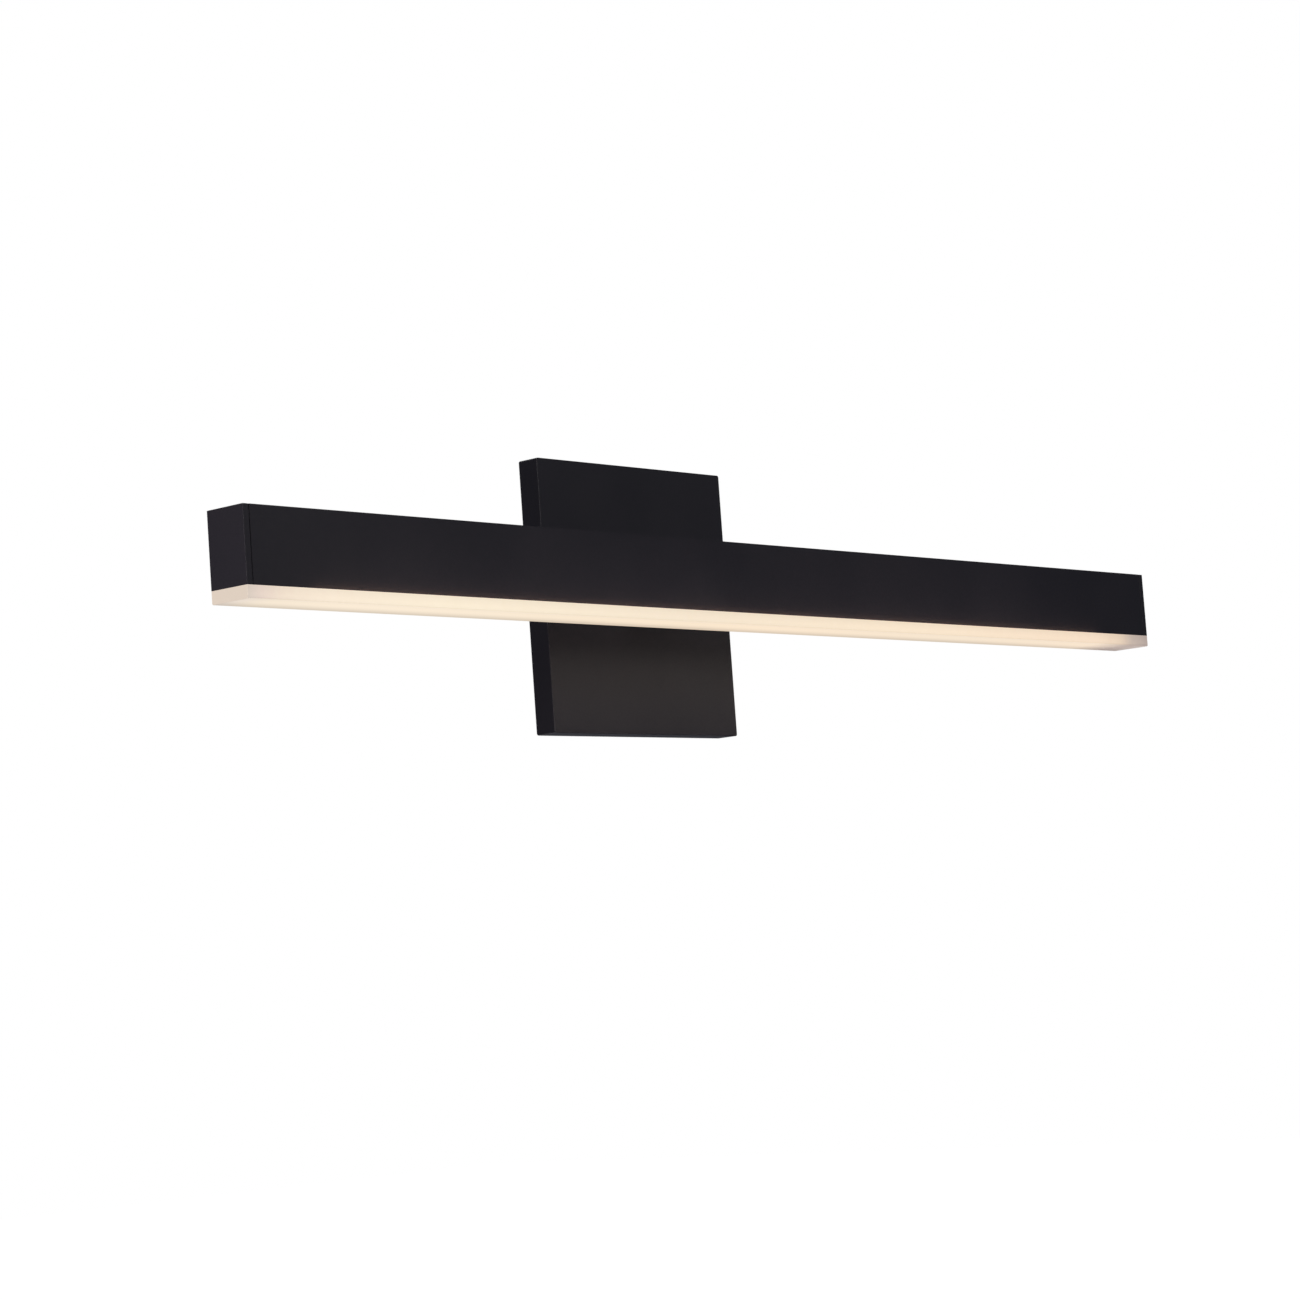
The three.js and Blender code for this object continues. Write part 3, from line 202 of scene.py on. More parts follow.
def millimetres(tree, stretch=(1.0, 1.0, 1.0)):
    """The object's own coordinates in millimetres, stretched along an axis by dividing it."""
    place = node(tree, "ShaderNodeTexCoord").outputs["Object"]
    scale = [METRE_TO_MM / s for s in stretch]
    return node(tree, "ShaderNodeMapping", {"Vector": place, "Scale": scale}).outputs["Vector"]


def noise(tree, size, detail=2.0, stretch=(1.0, 1.0, 1.0)):
    """Noise whose features are about size millimetres across."""
    inputs = {"Vector": millimetres(tree, stretch), "Scale": 1.0 / size, "Detail": detail}
    return node(tree, "ShaderNodeTexNoise", inputs).outputs["Fac"]


def drawn_out(tree, pattern, low=0.0, high=1.0):
    """Noise drawn out to cover a whole range."""
    return spread(tree, pattern, NOISE_LOW, NOISE_HIGH, low, high)


def blend(tree, factor, low, high, kind="MIX"):
    """Two colours mixed, or multiplied, by a factor from 0 to 1."""
    made = tree.nodes.new("ShaderNodeMix")
    made.data_type = "RGBA"
    made.blend_type = kind
    colours = {s.identifier: s for s in made.inputs}
    wanted = {"Factor_Float": factor, "A_Color": low, "B_Color": high}
    for key, value in wanted.items():
        if isinstance(value, bpy.types.NodeSocket):
            tree.links.new(value, colours[key])
        else:
            colours[key].default_value = value
    return next(s for s in made.outputs if s.identifier == "Result_Color")


def ramp(tree, factor, stops):
    """A colour ramp through (place, colour) stops, its places from 0 to 1."""
    made = node(tree, "ShaderNodeValToRGB", {"Fac": factor})
    elements = made.color_ramp.elements
    while len(elements) < len(stops):
        elements.new(1.0)
    for element, (at, colour) in zip(elements, stops):
        element.position = at
        element.color = (*colour, 1.0)
    return made.outputs["Color"]


def spread(tree, value, from_low, from_high, to_low=0.0, to_high=1.0):
    """A value moved from one range to another and held inside it."""
    inputs = {0: value, 1: from_low, 2: from_high, 3: to_low, 4: to_high}
    return node(tree, "ShaderNodeMapRange", inputs).outputs[0]


def own_place(tree):
    """The x, y and z of a point in the object's own coordinates, in metres."""
    place = node(tree, "ShaderNodeTexCoord").outputs["Object"]
    return node(tree, "ShaderNodeSeparateXYZ", {0: place}).outputs


def colour_by(tree, shader, factor, dark, light):
    """A base colour between two tones."""
    tree.links.new(blend(tree, factor, dark, light), shader.inputs["Base Color"])


def roughen(tree, shader, value, low, high):
    """A roughness that follows noise from low to high."""
    tree.links.new(drawn_out(tree, value, low, high), shader.inputs["Roughness"])


def add_bump(tree, shader, height, depth):
    """Relief on the shader: height from 0 to 1 stands for depth in millimetres."""
    relief = node(tree, "ShaderNodeBump", {"Height": height, "Distance": mm(depth), "Strength": 1.0})
    tree.links.new(relief.outputs["Normal"], shader.inputs["Normal"])


def black_powder_coat():
    """Satin black powder coat: an even, faintly orange-peeled skin with slow drifts of tone."""
    material, tree, shader = new_material("black_powder_coat", roughness=0.46, specular=0.42)
    drift = spread(tree, noise(tree, 70.0), from_low=0.35, from_high=0.65)
    dark, light = (0.0100, 0.0094, 0.0125, 1.0), (0.0140, 0.0128, 0.0160, 1.0)
    colour_by(tree, shader, drift, dark, light)
    grain = noise(tree, 0.9, detail=3.0)
    roughen(tree, shader, grain, low=0.42, high=0.52)
    add_bump(tree, shader, grain, depth=0.012)
    return material


# what the lit acrylic gives off along the bar, from its left end to its right end, partly its glow and
# partly painted shade: its front face, which the studio also lights, and its underside, which the
# studio hardly lights; the fall near the right end of the front is painted shade
GLOW_AND_SHADE_FRONT = (
    (0.000, (0.40, 0.35, 0.32)),
    (0.012, (0.51, 0.42, 0.38)),
    (0.030, (0.59, 0.50, 0.41)),
    (0.065, (0.66, 0.57, 0.46)),
    (0.170, (0.68, 0.60, 0.465)),
    (0.420, (0.65, 0.555, 0.43)),
    (0.660, (0.69, 0.57, 0.425)),
    (0.925, (0.69, 0.535, 0.40)),
    (0.960, (0.56, 0.43, 0.32)),
    (0.976, (0.33, 0.265, 0.235)),
    (1.000, (0.20, 0.155, 0.16)),
)
GLOW_AND_SHADE_UNDER = (
    (0.000, (0.78, 0.68, 0.58)),
    (0.025, (0.89, 0.77, 0.61)),
    (0.090, (0.93, 0.80, 0.63)),
    (0.250, (0.92, 0.785, 0.61)),
    (0.500, (0.935, 0.77, 0.58)),
    (0.750, (0.89, 0.75, 0.58)),
    (0.930, (0.91, 0.75, 0.575)),
    (0.976, (0.47, 0.38, 0.335)),
    (1.000, (0.50, 0.42, 0.37)),
)
# what its closed ends give off, and how much brighter its back face is than its front: painted shade by
# the way each face looks
GLOW_AND_SHADE_END = (0.645, 0.545, 0.455, 1.0)
GLOW_AND_SHADE_BACK_LIFT = 1.2
# painted shade in the glow: how its brightness changes up its sides, and across its underside from
# front to back
GLOW_AND_SHADE_UP = ((0.0, 0.97), (0.12, 0.98), (0.35, 1.0), (0.6, 0.95), (0.85, 0.90), (1.0, 0.93))
GLOW_AND_SHADE_ACROSS = (
    (0.0, 0.96), (0.2, 0.99), (0.32, 1.0), (0.45, 0.97), (0.6, 0.90), (0.75, 0.80), (1.0, 0.66),
)


def frosted_acrylic():
    """Opal acrylic that glows as if lit from inside, dimmer towards its closed ends, with painted shade
    that makes each face brighter or darker by the way it faces.
    """
    material, tree, shader = new_material("frosted_acrylic", roughness=0.4, specular=0.35)
    cloud = drawn_out(tree, noise(tree, 3.0, detail=4.0))
    colour_by(tree, shader, cloud, dark=(0.50, 0.43, 0.34, 1.0), light=(0.54, 0.47, 0.37, 1.0))
    # the emission carries painted shade: each face glows brighter or darker by the way it faces
    tree.links.new(glow_and_painted_shade(tree), shader.inputs["Emission Color"])
    shader.inputs["Emission Strength"].default_value = 1.0
    return material


def glow_and_painted_shade(tree):
    """The glow's colour on each side of the diffuser with painted shade in it, told apart by the way
    each side faces.
    """
    low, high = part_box("diffuser")
    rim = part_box("light_channel")[0].z
    x, y, z = own_place(tree)
    normal = node(tree, "ShaderNodeNewGeometry").outputs["Normal"]
    facing = node(tree, "ShaderNodeSeparateXYZ", {0: normal}).outputs
    endways = node(tree, "ShaderNodeMath", {0: facing["X"]}, operation="ABSOLUTE").outputs[0]
    along = spread(tree, x, low.x, high.x)
    up = ramp(tree, spread(tree, z, low.z, rim), grey_stops(GLOW_AND_SHADE_UP))
    across = ramp(tree, spread(tree, y, low.y, high.y), grey_stops(GLOW_AND_SHADE_ACROSS))
    # painted shade: front, back, ends and underside each glow by their own amount
    front = blend(tree, 1.0, ramp(tree, along, GLOW_AND_SHADE_FRONT), up, "MULTIPLY")
    lift = spread(tree, facing["Y"], FACING_STARTS, FACING_FULL, 1.0, GLOW_AND_SHADE_BACK_LIFT)
    sides = blend(tree, 1.0, front, lift, "MULTIPLY")
    sides = blend(tree, spread(tree, endways, FACING_STARTS, FACING_FULL), sides, GLOW_AND_SHADE_END)
    under = blend(tree, 1.0, ramp(tree, along, GLOW_AND_SHADE_UNDER), across, "MULTIPLY")
    downwards = spread(tree, facing["Z"], -FACING_STARTS, -FACING_FULL)
    return blend(tree, downwards, sides, under)


def grey_stops(stops):
    """Colour stops that only carry a brightness."""
    return [(at, (level, level, level)) for at, level in stops]


def plated_steel(name, dark, light):
    """Zinc plate over rolled steel: mottled, with fine rolling lines along the bar."""
    material, tree, shader = new_material(name, roughness=0.35, metallic=1.0)
    mottle = drawn_out(tree, noise(tree, 5.0, detail=5.0))
    colour_by(tree, shader, mottle, dark, light)
    lines = noise(tree, 0.3, detail=3.0, stretch=(30.0, 1.0, 1.0))
    roughen(tree, shader, lines, low=0.28, high=0.48)
    add_bump(tree, shader, lines, depth=0.006)
    return material


def zinc_steel():
    """Bright zinc."""
    dark, light = (0.44, 0.46, 0.49, 1.0), (0.68, 0.70, 0.72, 1.0)
    return plated_steel("zinc_steel", dark, light)


def green_steel():
    """Zinc dyed green, which marks the ground screw."""
    dark, light = (0.03, 0.20, 0.07, 1.0), (0.06, 0.34, 0.12, 1.0)
    return plated_steel("green_steel", dark, light)


def speckled(name, dark, light, roughness, size, depth):
    """Moulded plastic or rubber: tones, roughness and relief in one grain, size and depth in mm."""
    material, tree, shader = new_material(name, roughness)
    grain = drawn_out(tree, noise(tree, size, detail=4.0))
    colour_by(tree, shader, grain, dark, light)
    smoothest, roughest = roughness - 0.05, roughness + 0.08
    rough = spread(tree, grain, 0.0, 1.0, smoothest, roughest)
    tree.links.new(rough, shader.inputs["Roughness"])
    add_bump(tree, shader, grain, depth)
    return material


def white_plastic():
    """Off-white nylon of the terminal block and the board connectors."""
    dark, light = (0.72, 0.71, 0.67, 1.0), (0.82, 0.81, 0.77, 1.0)
    return speckled("white_plastic", dark, light, roughness=0.42, size=0.8, depth=0.01)


def orange_plastic():
    """Orange nylon of the terminal block's marker tags."""
    dark, light = (0.66, 0.15, 0.01, 1.0), (0.78, 0.22, 0.02, 1.0)
    return speckled("orange_plastic", dark, light, roughness=0.4, size=0.8, depth=0.01)


def rubber():
    """Dull black rubber of the bushings and grommets."""
    dark, light = (0.012, 0.012, 0.012, 1.0), (0.028, 0.028, 0.028, 1.0)
    return speckled("rubber", dark, light, roughness=0.75, size=0.3, depth=0.02)


def driver_case():
    """Black spark-textured plastic."""
    dark, light = (0.014, 0.014, 0.016, 1.0), (0.03, 0.03, 0.033, 1.0)
    return speckled("driver_case", dark, light, roughness=0.5, size=0.25, depth=0.03)


def insulation(name, dark, light):
    """Extruded wire insulation: glossy, with faint ripples."""
    return speckled(name, dark, light, roughness=0.32, size=1.6, depth=0.015)


def black_insulation():
    """Black wire insulation."""
    dark, light = (0.010, 0.010, 0.010, 1.0), (0.020, 0.020, 0.020, 1.0)
    return insulation("black_insulation", dark, light)


def white_insulation():
    """White wire insulation."""
    dark, light = (0.66, 0.65, 0.60, 1.0), (0.78, 0.77, 0.72, 1.0)
    return insulation("white_insulation", dark, light)


def green_insulation():
    """Green wire insulation."""
    dark, light = (0.015, 0.19, 0.05, 1.0), (0.03, 0.26, 0.08, 1.0)
    return insulation("green_insulation", dark, light)


def red_insulation():
    """Red wire insulation."""
    dark, light = (0.36, 0.015, 0.012, 1.0), (0.48, 0.03, 0.02, 1.0)
    return insulation("red_insulation", dark, light)


def tray_aluminium():
    """Mill-finish aluminium with long extrusion lines."""
    material, tree, shader = new_material("tray_aluminium", roughness=0.35, metallic=1.0)
    lines = noise(tree, 0.25, detail=4.0, stretch=(200.0, 1.0, 1.0))
    colour_by(tree, shader, lines, dark=(0.62, 0.63, 0.65, 1.0), light=(0.80, 0.81, 0.82, 1.0))
    roughen(tree, shader, lines, low=0.3, high=0.45)
    add_bump(tree, shader, lines, depth=0.008)
    return material


def led_board_white():
    """White solder mask, with phosphor-yellow faces on the LED packages that hang below it."""
    material, tree, shader = new_material("led_board_white", roughness=0.4)
    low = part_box("led_board_left")[0].z
    edge, full = mm(0.15), mm(0.05)
    face = spread(tree, own_place(tree)["Z"], low + edge, low + full)
    grain = drawn_out(tree, noise(tree, 0.6, detail=3.0))
    mask = blend(tree, grain, (0.78, 0.78, 0.75, 1.0), (0.86, 0.86, 0.83, 1.0))
    phosphor = blend(tree, grain, (0.85, 0.55, 0.06, 1.0), (0.95, 0.68, 0.12, 1.0))
    colour_by(tree, shader, face, mask, phosphor)
    add_bump(tree, shader, grain, depth=0.01)
    return material


def driver_board_green():
    """Green solder mask over copper tracks that show as a lighter, raised pattern."""
    material, tree, shader = new_material("driver_board_green", roughness=0.35)
    inputs = {"Vector": millimetres(tree), "Scale": 0.45, "Row Height": 0.5, "Mortar Size": 0.06}
    tracks = node(tree, "ShaderNodeTexBrick", inputs).outputs["Fac"]
    grain = drawn_out(tree, noise(tree, 0.8, detail=3.0))
    mask = blend(tree, grain, (0.010, 0.085, 0.030, 1.0), (0.016, 0.12, 0.045, 1.0))
    colour_by(tree, shader, tracks, mask, light=(0.03, 0.24, 0.09, 1.0))
    add_bump(tree, shader, tracks, depth=0.04)
    return material


def driver_parts():
    """Amber winding tape in darker and lighter bands."""
    material, tree, shader = new_material("driver_parts", roughness=0.4)
    inputs = {"Vector": millimetres(tree), "Scale": 0.6, "Distortion": 0.4, "Detail": 2.0}
    bands = node(tree, "ShaderNodeTexWave", inputs, bands_direction="X").outputs["Fac"]
    colour_by(tree, shader, bands, dark=(0.30, 0.17, 0.02, 1.0), light=(0.62, 0.42, 0.06, 1.0))
    smoothest, roughest = 0.35, 0.5
    rough = spread(tree, bands, 0.0, 1.0, smoothest, roughest)
    tree.links.new(rough, shader.inputs["Roughness"])
    add_bump(tree, shader, bands, depth=0.05)
    return material


def capacitor_sleeve():
    """Dark shrink sleeve with a paler stripe along one side and a bare aluminium top."""
    material, tree, shader = new_material("capacitor_sleeve", roughness=0.25)
    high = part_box("driver_capacitor")[1]
    place = own_place(tree)
    stripe_edge, stripe_full, top_edge, top_full = mm(0.6), mm(0.5), mm(0.3), mm(0.2)
    stripe = spread(tree, place["Y"], high.y - stripe_edge, high.y - stripe_full)
    top = spread(tree, place["X"], high.x - top_edge, high.x - top_full)
    grain = drawn_out(tree, noise(tree, 1.0, detail=3.0))
    sleeve = blend(tree, grain, (0.010, 0.011, 0.02, 1.0), (0.018, 0.02, 0.034, 1.0))
    striped = blend(tree, stripe, sleeve, (0.45, 0.46, 0.48, 1.0))
    colour_by(tree, shader, top, striped, light=(0.70, 0.71, 0.72, 1.0))
    tree.links.new(top, shader.inputs["Metallic"])
    add_bump(tree, shader, grain, depth=0.01)
    return material


# ---------------------------------------------------------------- mesh tools


def finished(name, work, material, slot, replaced, auto_smooth=SMOOTH_ANGLE):
    """Turns a bmesh into a piece of the object that stands for CAD nodes and takes a finish."""
    mesh = bpy.data.meshes.new(name)
    for face in work.faces:
        face.smooth = True
    work.to_mesh(mesh)
    work.free()
    mesh.set_sharp_from_angle(angle=auto_smooth)
    mesh.materials.append(material)
    piece = bpy.data.objects.new(name, mesh)
    bpy.context.scene.collection.objects.link(piece)
    flat = piece.modifiers.new("flat_faces_stay_flat", "WEIGHTED_NORMAL")
    flat.keep_sharp = True
    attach(piece, "root")
    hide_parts(*replaced)
    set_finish(piece, slot)
    return piece


def welded(source):
    """A bmesh of a CAD node's shape with its shared corners joined."""
    work = bmesh.new()
    work.from_mesh(frame["nodes"][source].data)
    bmesh.ops.remove_doubles(work, verts=work.verts, dist=WELD_DISTANCE)
    return work


def round_edges(work, edge):
    """Makes flat faces whole again and rounds the sharp edges to edge mm; 0 changes nothing."""
    if edge == 0:
        return
    bmesh.ops.dissolve_limit(work, angle_limit=FLAT_ANGLE, verts=work.verts, edges=work.edges)
    sharp = [e for e in work.edges if e.is_manifold and e.calc_face_angle() > SHARP_ANGLE]
    bmesh.ops.bevel(
        work, geom=sharp, offset=mm(edge), segments=EDGE_STEPS, profile=0.5,
        affect="EDGES", clamp_overlap=True,
    )


def loft(work, loops):
    """Joins closed loops of points in turn and closes the first and the last."""
    rings = [[work.verts.new(point) for point in loop] for loop in loops]
    for ring, following in zip(rings, rings[1:]):
        for i, corner in enumerate(ring):
            j = (i + 1) % len(ring)
            work.faces.new((corner, ring[j], following[j], following[i]))
    work.faces.new(reversed(rings[0]))
    work.faces.new(rings[-1])
    bmesh.ops.recalc_face_normals(work, faces=work.faces)


def rounded_rectangle(half_x, half_z, radius):
    """Points of a rounded rectangle about the origin, as (x, z) pairs, anticlockwise."""
    points = []
    for quarter, (side_x, side_z) in enumerate(((1, 1), (-1, 1), (-1, -1), (1, -1))):
        for step in range(CORNER_STEPS + 1):
            angle = math.pi / 2 * (quarter + step / CORNER_STEPS)
            x = side_x * (half_x - radius) + radius * math.cos(angle)
            z = side_z * (half_z - radius) + radius * math.sin(angle)
            points.append((x, z))
    return points


def quarter_round(centre, radius, first, last):
    """Profile points round a quarter circle, its angles in degrees."""
    turns = [math.radians(first + (last - first) * k / EDGE_STEPS) for k in range(EDGE_STEPS + 1)]
    return [(centre[0] + radius * math.cos(a), centre[1] + radius * math.sin(a)) for a in turns]


def turned(work, rows):
    """A piece turned round +Y from (radius, height) rows; a radius may be a function of the turn."""
    loops = []
    for radius, height in rows:
        loop = []
        for column in range(COLUMNS):
            turn = column / COLUMNS
            r = radius(turn) if callable(radius) else radius
            angle = 2 * math.pi * turn
            loop.append((r * math.sin(angle), height, r * math.cos(angle)))
        loops.append(loop)
    loft(work, loops)


def cut_away(piece, cutters):
    """Takes the cutters' shapes out of a piece for good, and the cutters out of the scene."""
    for cutter in cutters:
        cut = piece.modifiers.new("cut", "BOOLEAN")
        cut.operation = "DIFFERENCE"
        cut.solver = "EXACT"
        cut.object = cutter
        piece.modifiers.move(len(piece.modifiers) - 1, 0)
    weigh = piece.modifiers["flat_faces_stay_flat"]
    weigh.show_viewport = False
    graph = bpy.context.evaluated_depsgraph_get()
    mesh = bpy.data.meshes.new_from_object(piece.evaluated_get(graph))
    weigh.show_viewport = True
    for cut in [m for m in piece.modifiers if m.type == "BOOLEAN"]:
        piece.modifiers.remove(cut)
    piece.data = mesh
    mesh.set_sharp_from_angle(angle=SMOOTH_ANGLE)
    for cutter in cutters:
        bpy.data.objects.remove(cutter)


def cutter_from(work):
    """An object of a bmesh's shape, for cut_away to use up."""
    mesh = bpy.data.meshes.new("cutter")
    work.to_mesh(mesh)
    work.free()
    cutter = bpy.data.objects.new("cutter", mesh)
    bpy.context.scene.collection.objects.link(cutter)
    return cutter


def facing_along(direction, place):
    """The matrix that turns what is made round +Y to a direction and moves it to a place."""
    turn = ALONG_Y.rotation_difference(direction).to_matrix().to_4x4()
    return Matrix.Translation(place) @ turn


def drill(direction, place, radius, length):
    """A round cutter along a direction, centred on a place."""
    work = bmesh.new()
    turned(work, [(radius, -length / 2), (radius, length / 2)])
    bmesh.ops.transform(work, matrix=facing_along(direction, place), verts=work.verts)
    return cutter_from(work)


# ---------------------------------------------------------------- screws

# a screw's box middle, then heights from it along the way the head faces, and two radii
Screw = namedtuple("Screw", "middle tip seat top shank head")


def screw_sizes(source, direction):
    """The sizes of a CAD screw whose head faces a direction."""
    low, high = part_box(source)
    middle = (low + high) / 2
    points = []
    for vertex in frame["nodes"][source].data.vertices:
        offset = vertex.co - middle
        height = offset.dot(direction)
        points.append((height, (offset - height * direction).length))
    head = max(radius for _, radius in points)
    seat = min(height for height, radius in points if radius > HEAD_RIM_SHARE * head)
    tip = min(height for height, _ in points)
    top = max(height for height, _ in points)
    shank = max(radius for height, radius in points if height < seat - WELD_DISTANCE)
    return Screw(middle, tip, seat, top, shank, head)


def thread(shank, tip, end):
    """Rows of a helical thread from the screw's tip to where the plain shank starts."""
    pitch = THREAD_PITCH_SHARE * shank
    depth = THREAD_DEPTH_SHARE * pitch
    rows = [(shank - 2 * depth, tip)]
    count = int((end - tip) / pitch * THREAD_ROWS)
    for row in range(1, count):
        height = tip + row * pitch / THREAD_ROWS
        fade = min(1.0, row / THREAD_ROWS, (count - row) / THREAD_ROWS)

        def radius(turn, height=height, fade=fade):
            phase = ((height - tip) / pitch - turn) % 1.0
            return shank - depth * fade * abs(2 * phase - 1)

        rows.append((radius, height))
    return rows


def cross_recess(top, head):
    """A cutter for a cross drive: a plus sign that narrows as it goes down."""
    arm, blade, depth = RECESS_ARM * head, RECESS_BLADE * head, RECESS_DEPTH * head
    outline = []
    for quarter in range(4):
        turn = Matrix.Rotation(quarter * math.pi / 2, 2)
        outline += [turn @ Vector(p) for p in ((blade, -blade), (arm, -blade), (arm, blade))]
    work = bmesh.new()
    loops = []
    for share, height in ((RECESS_TAPER, top - depth), (1.0, top), (1.0, top + depth)):
        loops.append([(p.x * share, height, p.y * share) for p in outline])
    loft(work, loops)
    return work


def head_rows(screw):
    """Rows of a domed head with a chamfer under its rim and a flat crown."""
    chamfer, rise = mm(HEAD_CHAMFER), screw.top - screw.seat
    rows = [(screw.head - chamfer, screw.seat), (screw.head, screw.seat + chamfer)]
    for step in range(HEAD_STEPS + 1):
        angle = math.pi / 2 * step / HEAD_STEPS
        radius = screw.head * (HEAD_FLAT_SHARE + (1 - HEAD_FLAT_SHARE) * math.cos(angle))
        height = rise * (HEAD_RIM_RISE + (1 - HEAD_RIM_RISE) * math.sin(angle))
        rows.append((radius, screw.seat + height))
    return rows


def pan_screw(source, direction, material, slot):
    """A domed pan-head screw with a cross drive and a real thread."""
    screw = screw_sizes(source, direction)
    thread_end = min(screw.seat - screw.shank, screw.tip + mm(THREAD_LENGTH))
    rows = thread(screw.shank, screw.tip, thread_end) + [(screw.shank, screw.seat)]
    rows += head_rows(screw)
    work = bmesh.new()
    turned(work, rows)
    recess = cross_recess(screw.top, screw.head)
    for shape in (work, recess):
        bmesh.ops.transform(shape, matrix=facing_along(direction, screw.middle), verts=shape.verts)
    piece = finished(f"{source}_threaded", work, material, slot, [source])
    cut_away(piece, [cutter_from(recess)])


# ---------------------------------------------------------------- pieces


def canopy_pan(material, slot):
    """The canopy: a pressed pan, its front edge and rim rounded, open towards the wall."""
    low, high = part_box("canopy")
    half_x, half_z = (high.x - low.x) / 2, (high.z - low.z) / 2
    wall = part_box("arm_backing_plate")[0].y - low.y
    front, rim, inner = mm(CANOPY_FRONT_EDGE), mm(CANOPY_RIM_EDGE), mm(CANOPY_INNER_CORNER)
    profile = quarter_round((wall + inner, low.y + wall + inner), inner, 270, 180)
    profile += quarter_round((wall - rim, high.y - rim), rim, 0, 90)
    profile += quarter_round((rim, high.y - rim), rim, 90, 180)
    profile += quarter_round((front, low.y + front), front, 180, 270)
    loops = []
    for inset, y in profile:
        corner = max(mm(CANOPY_CORNER) - inset, inner)
        outline = rounded_rectangle(half_x - inset, half_z - inset, corner)
        loops.append([(x, y, z) for x, z in outline])
    work = bmesh.new()
    loft(work, loops)
    piece = finished("canopy_pan", work, material, slot, ["canopy"])
    cut_away(piece, canopy_holes(wall))


def canopy_holes(wall):
    """Cutters for the arm's two screws, the leads' bushing and the two side screws."""
    front, length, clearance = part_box("canopy")[0].y, DRILL_WALLS * wall, mm(HOLE_CLEARANCE)
    holes = []
    for side in ("left", "right"):
        screw = screw_sizes(f"arm_screw_{side}", ALONG_Y)
        place = (screw.middle.x, front, screw.middle.z)
        holes.append(drill(ALONG_Y, place, screw.shank + clearance, length))
        direction = SCREWS[f"canopy_screw_{side}"]
        screw = screw_sizes(f"canopy_screw_{side}", direction)
        place = screw.middle + direction * screw.seat
        holes.append(drill(direction, place, screw.shank + clearance, length))
    low, high = barrel("canopy_bushing")
    place = ((low.x + high.x) / 2, front, (low.z + high.z) / 2)
    radius = (high.x - low.x) / 2 + clearance
    holes.append(drill(ALONG_Y, place, radius, length))
    return holes


def barrel(source):
    """The box round a bushing's barrel, which is the end of it that has no flange."""
    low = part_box(source)[0]
    ends = [v.co for v in frame["nodes"][source].data.vertices if v.co.y < low.y + WELD_DISTANCE]
    return Vector(map(min, *ends)), Vector(map(max, *ends))


def bar_channel(material, slot):
    """The light channel, stopped just short of its end caps so that a dark seam shows."""
    low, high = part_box("light_channel")
    work = welded("light_channel")
    for vertex in work.verts:
        if abs(vertex.co.x - low.x) < WELD_DISTANCE:
            vertex.co.x += mm(SEAM)
        elif abs(vertex.co.x - high.x) < WELD_DISTANCE:
            vertex.co.x -= mm(SEAM)
    round_edges(work, CHANNEL_EDGE)
    finished("light_channel_finished", work, material, slot, ["light_channel"])


def smooth_wire(source, radius, material, slot):
    """A round wire along a CAD wire's own route, smoothed from its eight-sided tube."""
    work = welded(source)
    bmesh.ops.join_triangles(
        work, faces=work.faces, angle_face_threshold=QUAD_ANGLE, angle_shape_threshold=QUAD_ANGLE,
    )
    work.normal_update()
    swell = mm(radius) * (1 / WIRE_LIMIT_SHARE - 1)
    for vertex in work.verts:
        vertex.co += vertex.normal * swell
    piece = finished(f"{source}_insulated", work, material, slot, [source], math.pi)
    smooth = piece.modifiers.new("round", "SUBSURF")
    smooth.levels = smooth.render_levels = 1
    piece.modifiers.move(1, 0)


def pole_x(lead):
    """Where a lead's pole is: the middle of the part of the lead that is inside the block."""
    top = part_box("terminal_block")[1].z
    inside = [v.co.x for v in frame["nodes"][lead].data.vertices if v.co.z < top]
    return (min(inside) + max(inside)) / 2


def pole_marker(number, x, material):
    """A snap-in marker tag on a pole, in the terminal block's rear face, its rim rounded."""
    low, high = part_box("terminal_block")
    middle = (low.z + high.z) / 2
    half_x, half_z, corner = MARKER_SIZE
    loops = []
    for shrink, out in MARKER_PROFILE:
        outline = rounded_rectangle(mm(half_x - shrink), mm(half_z - shrink), mm(corner))
        loops.append([(x + a, high.y + mm(out), middle + b) for a, b in outline])
    work = bmesh.new()
    loft(work, loops)
    finished(f"pole_marker_{number}", work, material, "white_plastic", [])


# each finish: the CAD nodes that take it, and how far their edges are rounded, in mm; 0 leaves sharp
# the two whose faces the rounding spoils
EDGES = {
    "black_powder_coat": {
        "end_cap_left": 0.35, "end_cap_right": 0.35, "standoff_arm": 0.3,
        "end_cap_screw_left": 0.08, "end_cap_screw_right": 0.08,
    },
    "zinc_steel": {
        "wall_bracket": 0.3, "arm_backing_plate": 0.25, "arm_nut_plate": 0.25,
        "arm_washer_left": 0.12, "arm_washer_right": 0.12,
    },
    "green_steel": {"ground_screw": 0.15},
    "white_plastic": {
        "terminal_block": 0.35, "board_connector_left": 0.15, "board_connector_right": 0.15,
    },
    "rubber": {
        "canopy_bushing": 0.3, "channel_bushing": 0.3,
        "driver_input_grommet": 0, "driver_output_grommet": 0.15,
    },
    "tray_aluminium": {"led_tray": 0.2},
    "led_board_white": {"led_board_left": 0.08, "led_board_right": 0.08},
    "frosted_acrylic": {"diffuser": 0.2},
    "driver_case": {"driver_base": 0, "driver_cover": 0.25},
    "driver_board_green": {"driver_board": 0.1},
    "driver_parts": {"driver_transformer": 0.3, "driver_choke": 0.2},
    "capacitor_sleeve": {"driver_capacitor": 0.2},
}
# each finish: the wires that take it, and their radius in mm
WIRES = {
    "black_insulation": {
        "lead_line": 0.9, "output_lead_negative": 0.7, "jumper_lead_negative": 0.6,
    },
    "white_insulation": {"lead_neutral": 0.9},
    "green_insulation": {"lead_ground": 0.9},
    "red_insulation": {"output_lead_positive": 0.7, "jumper_lead_positive": 0.6},
}
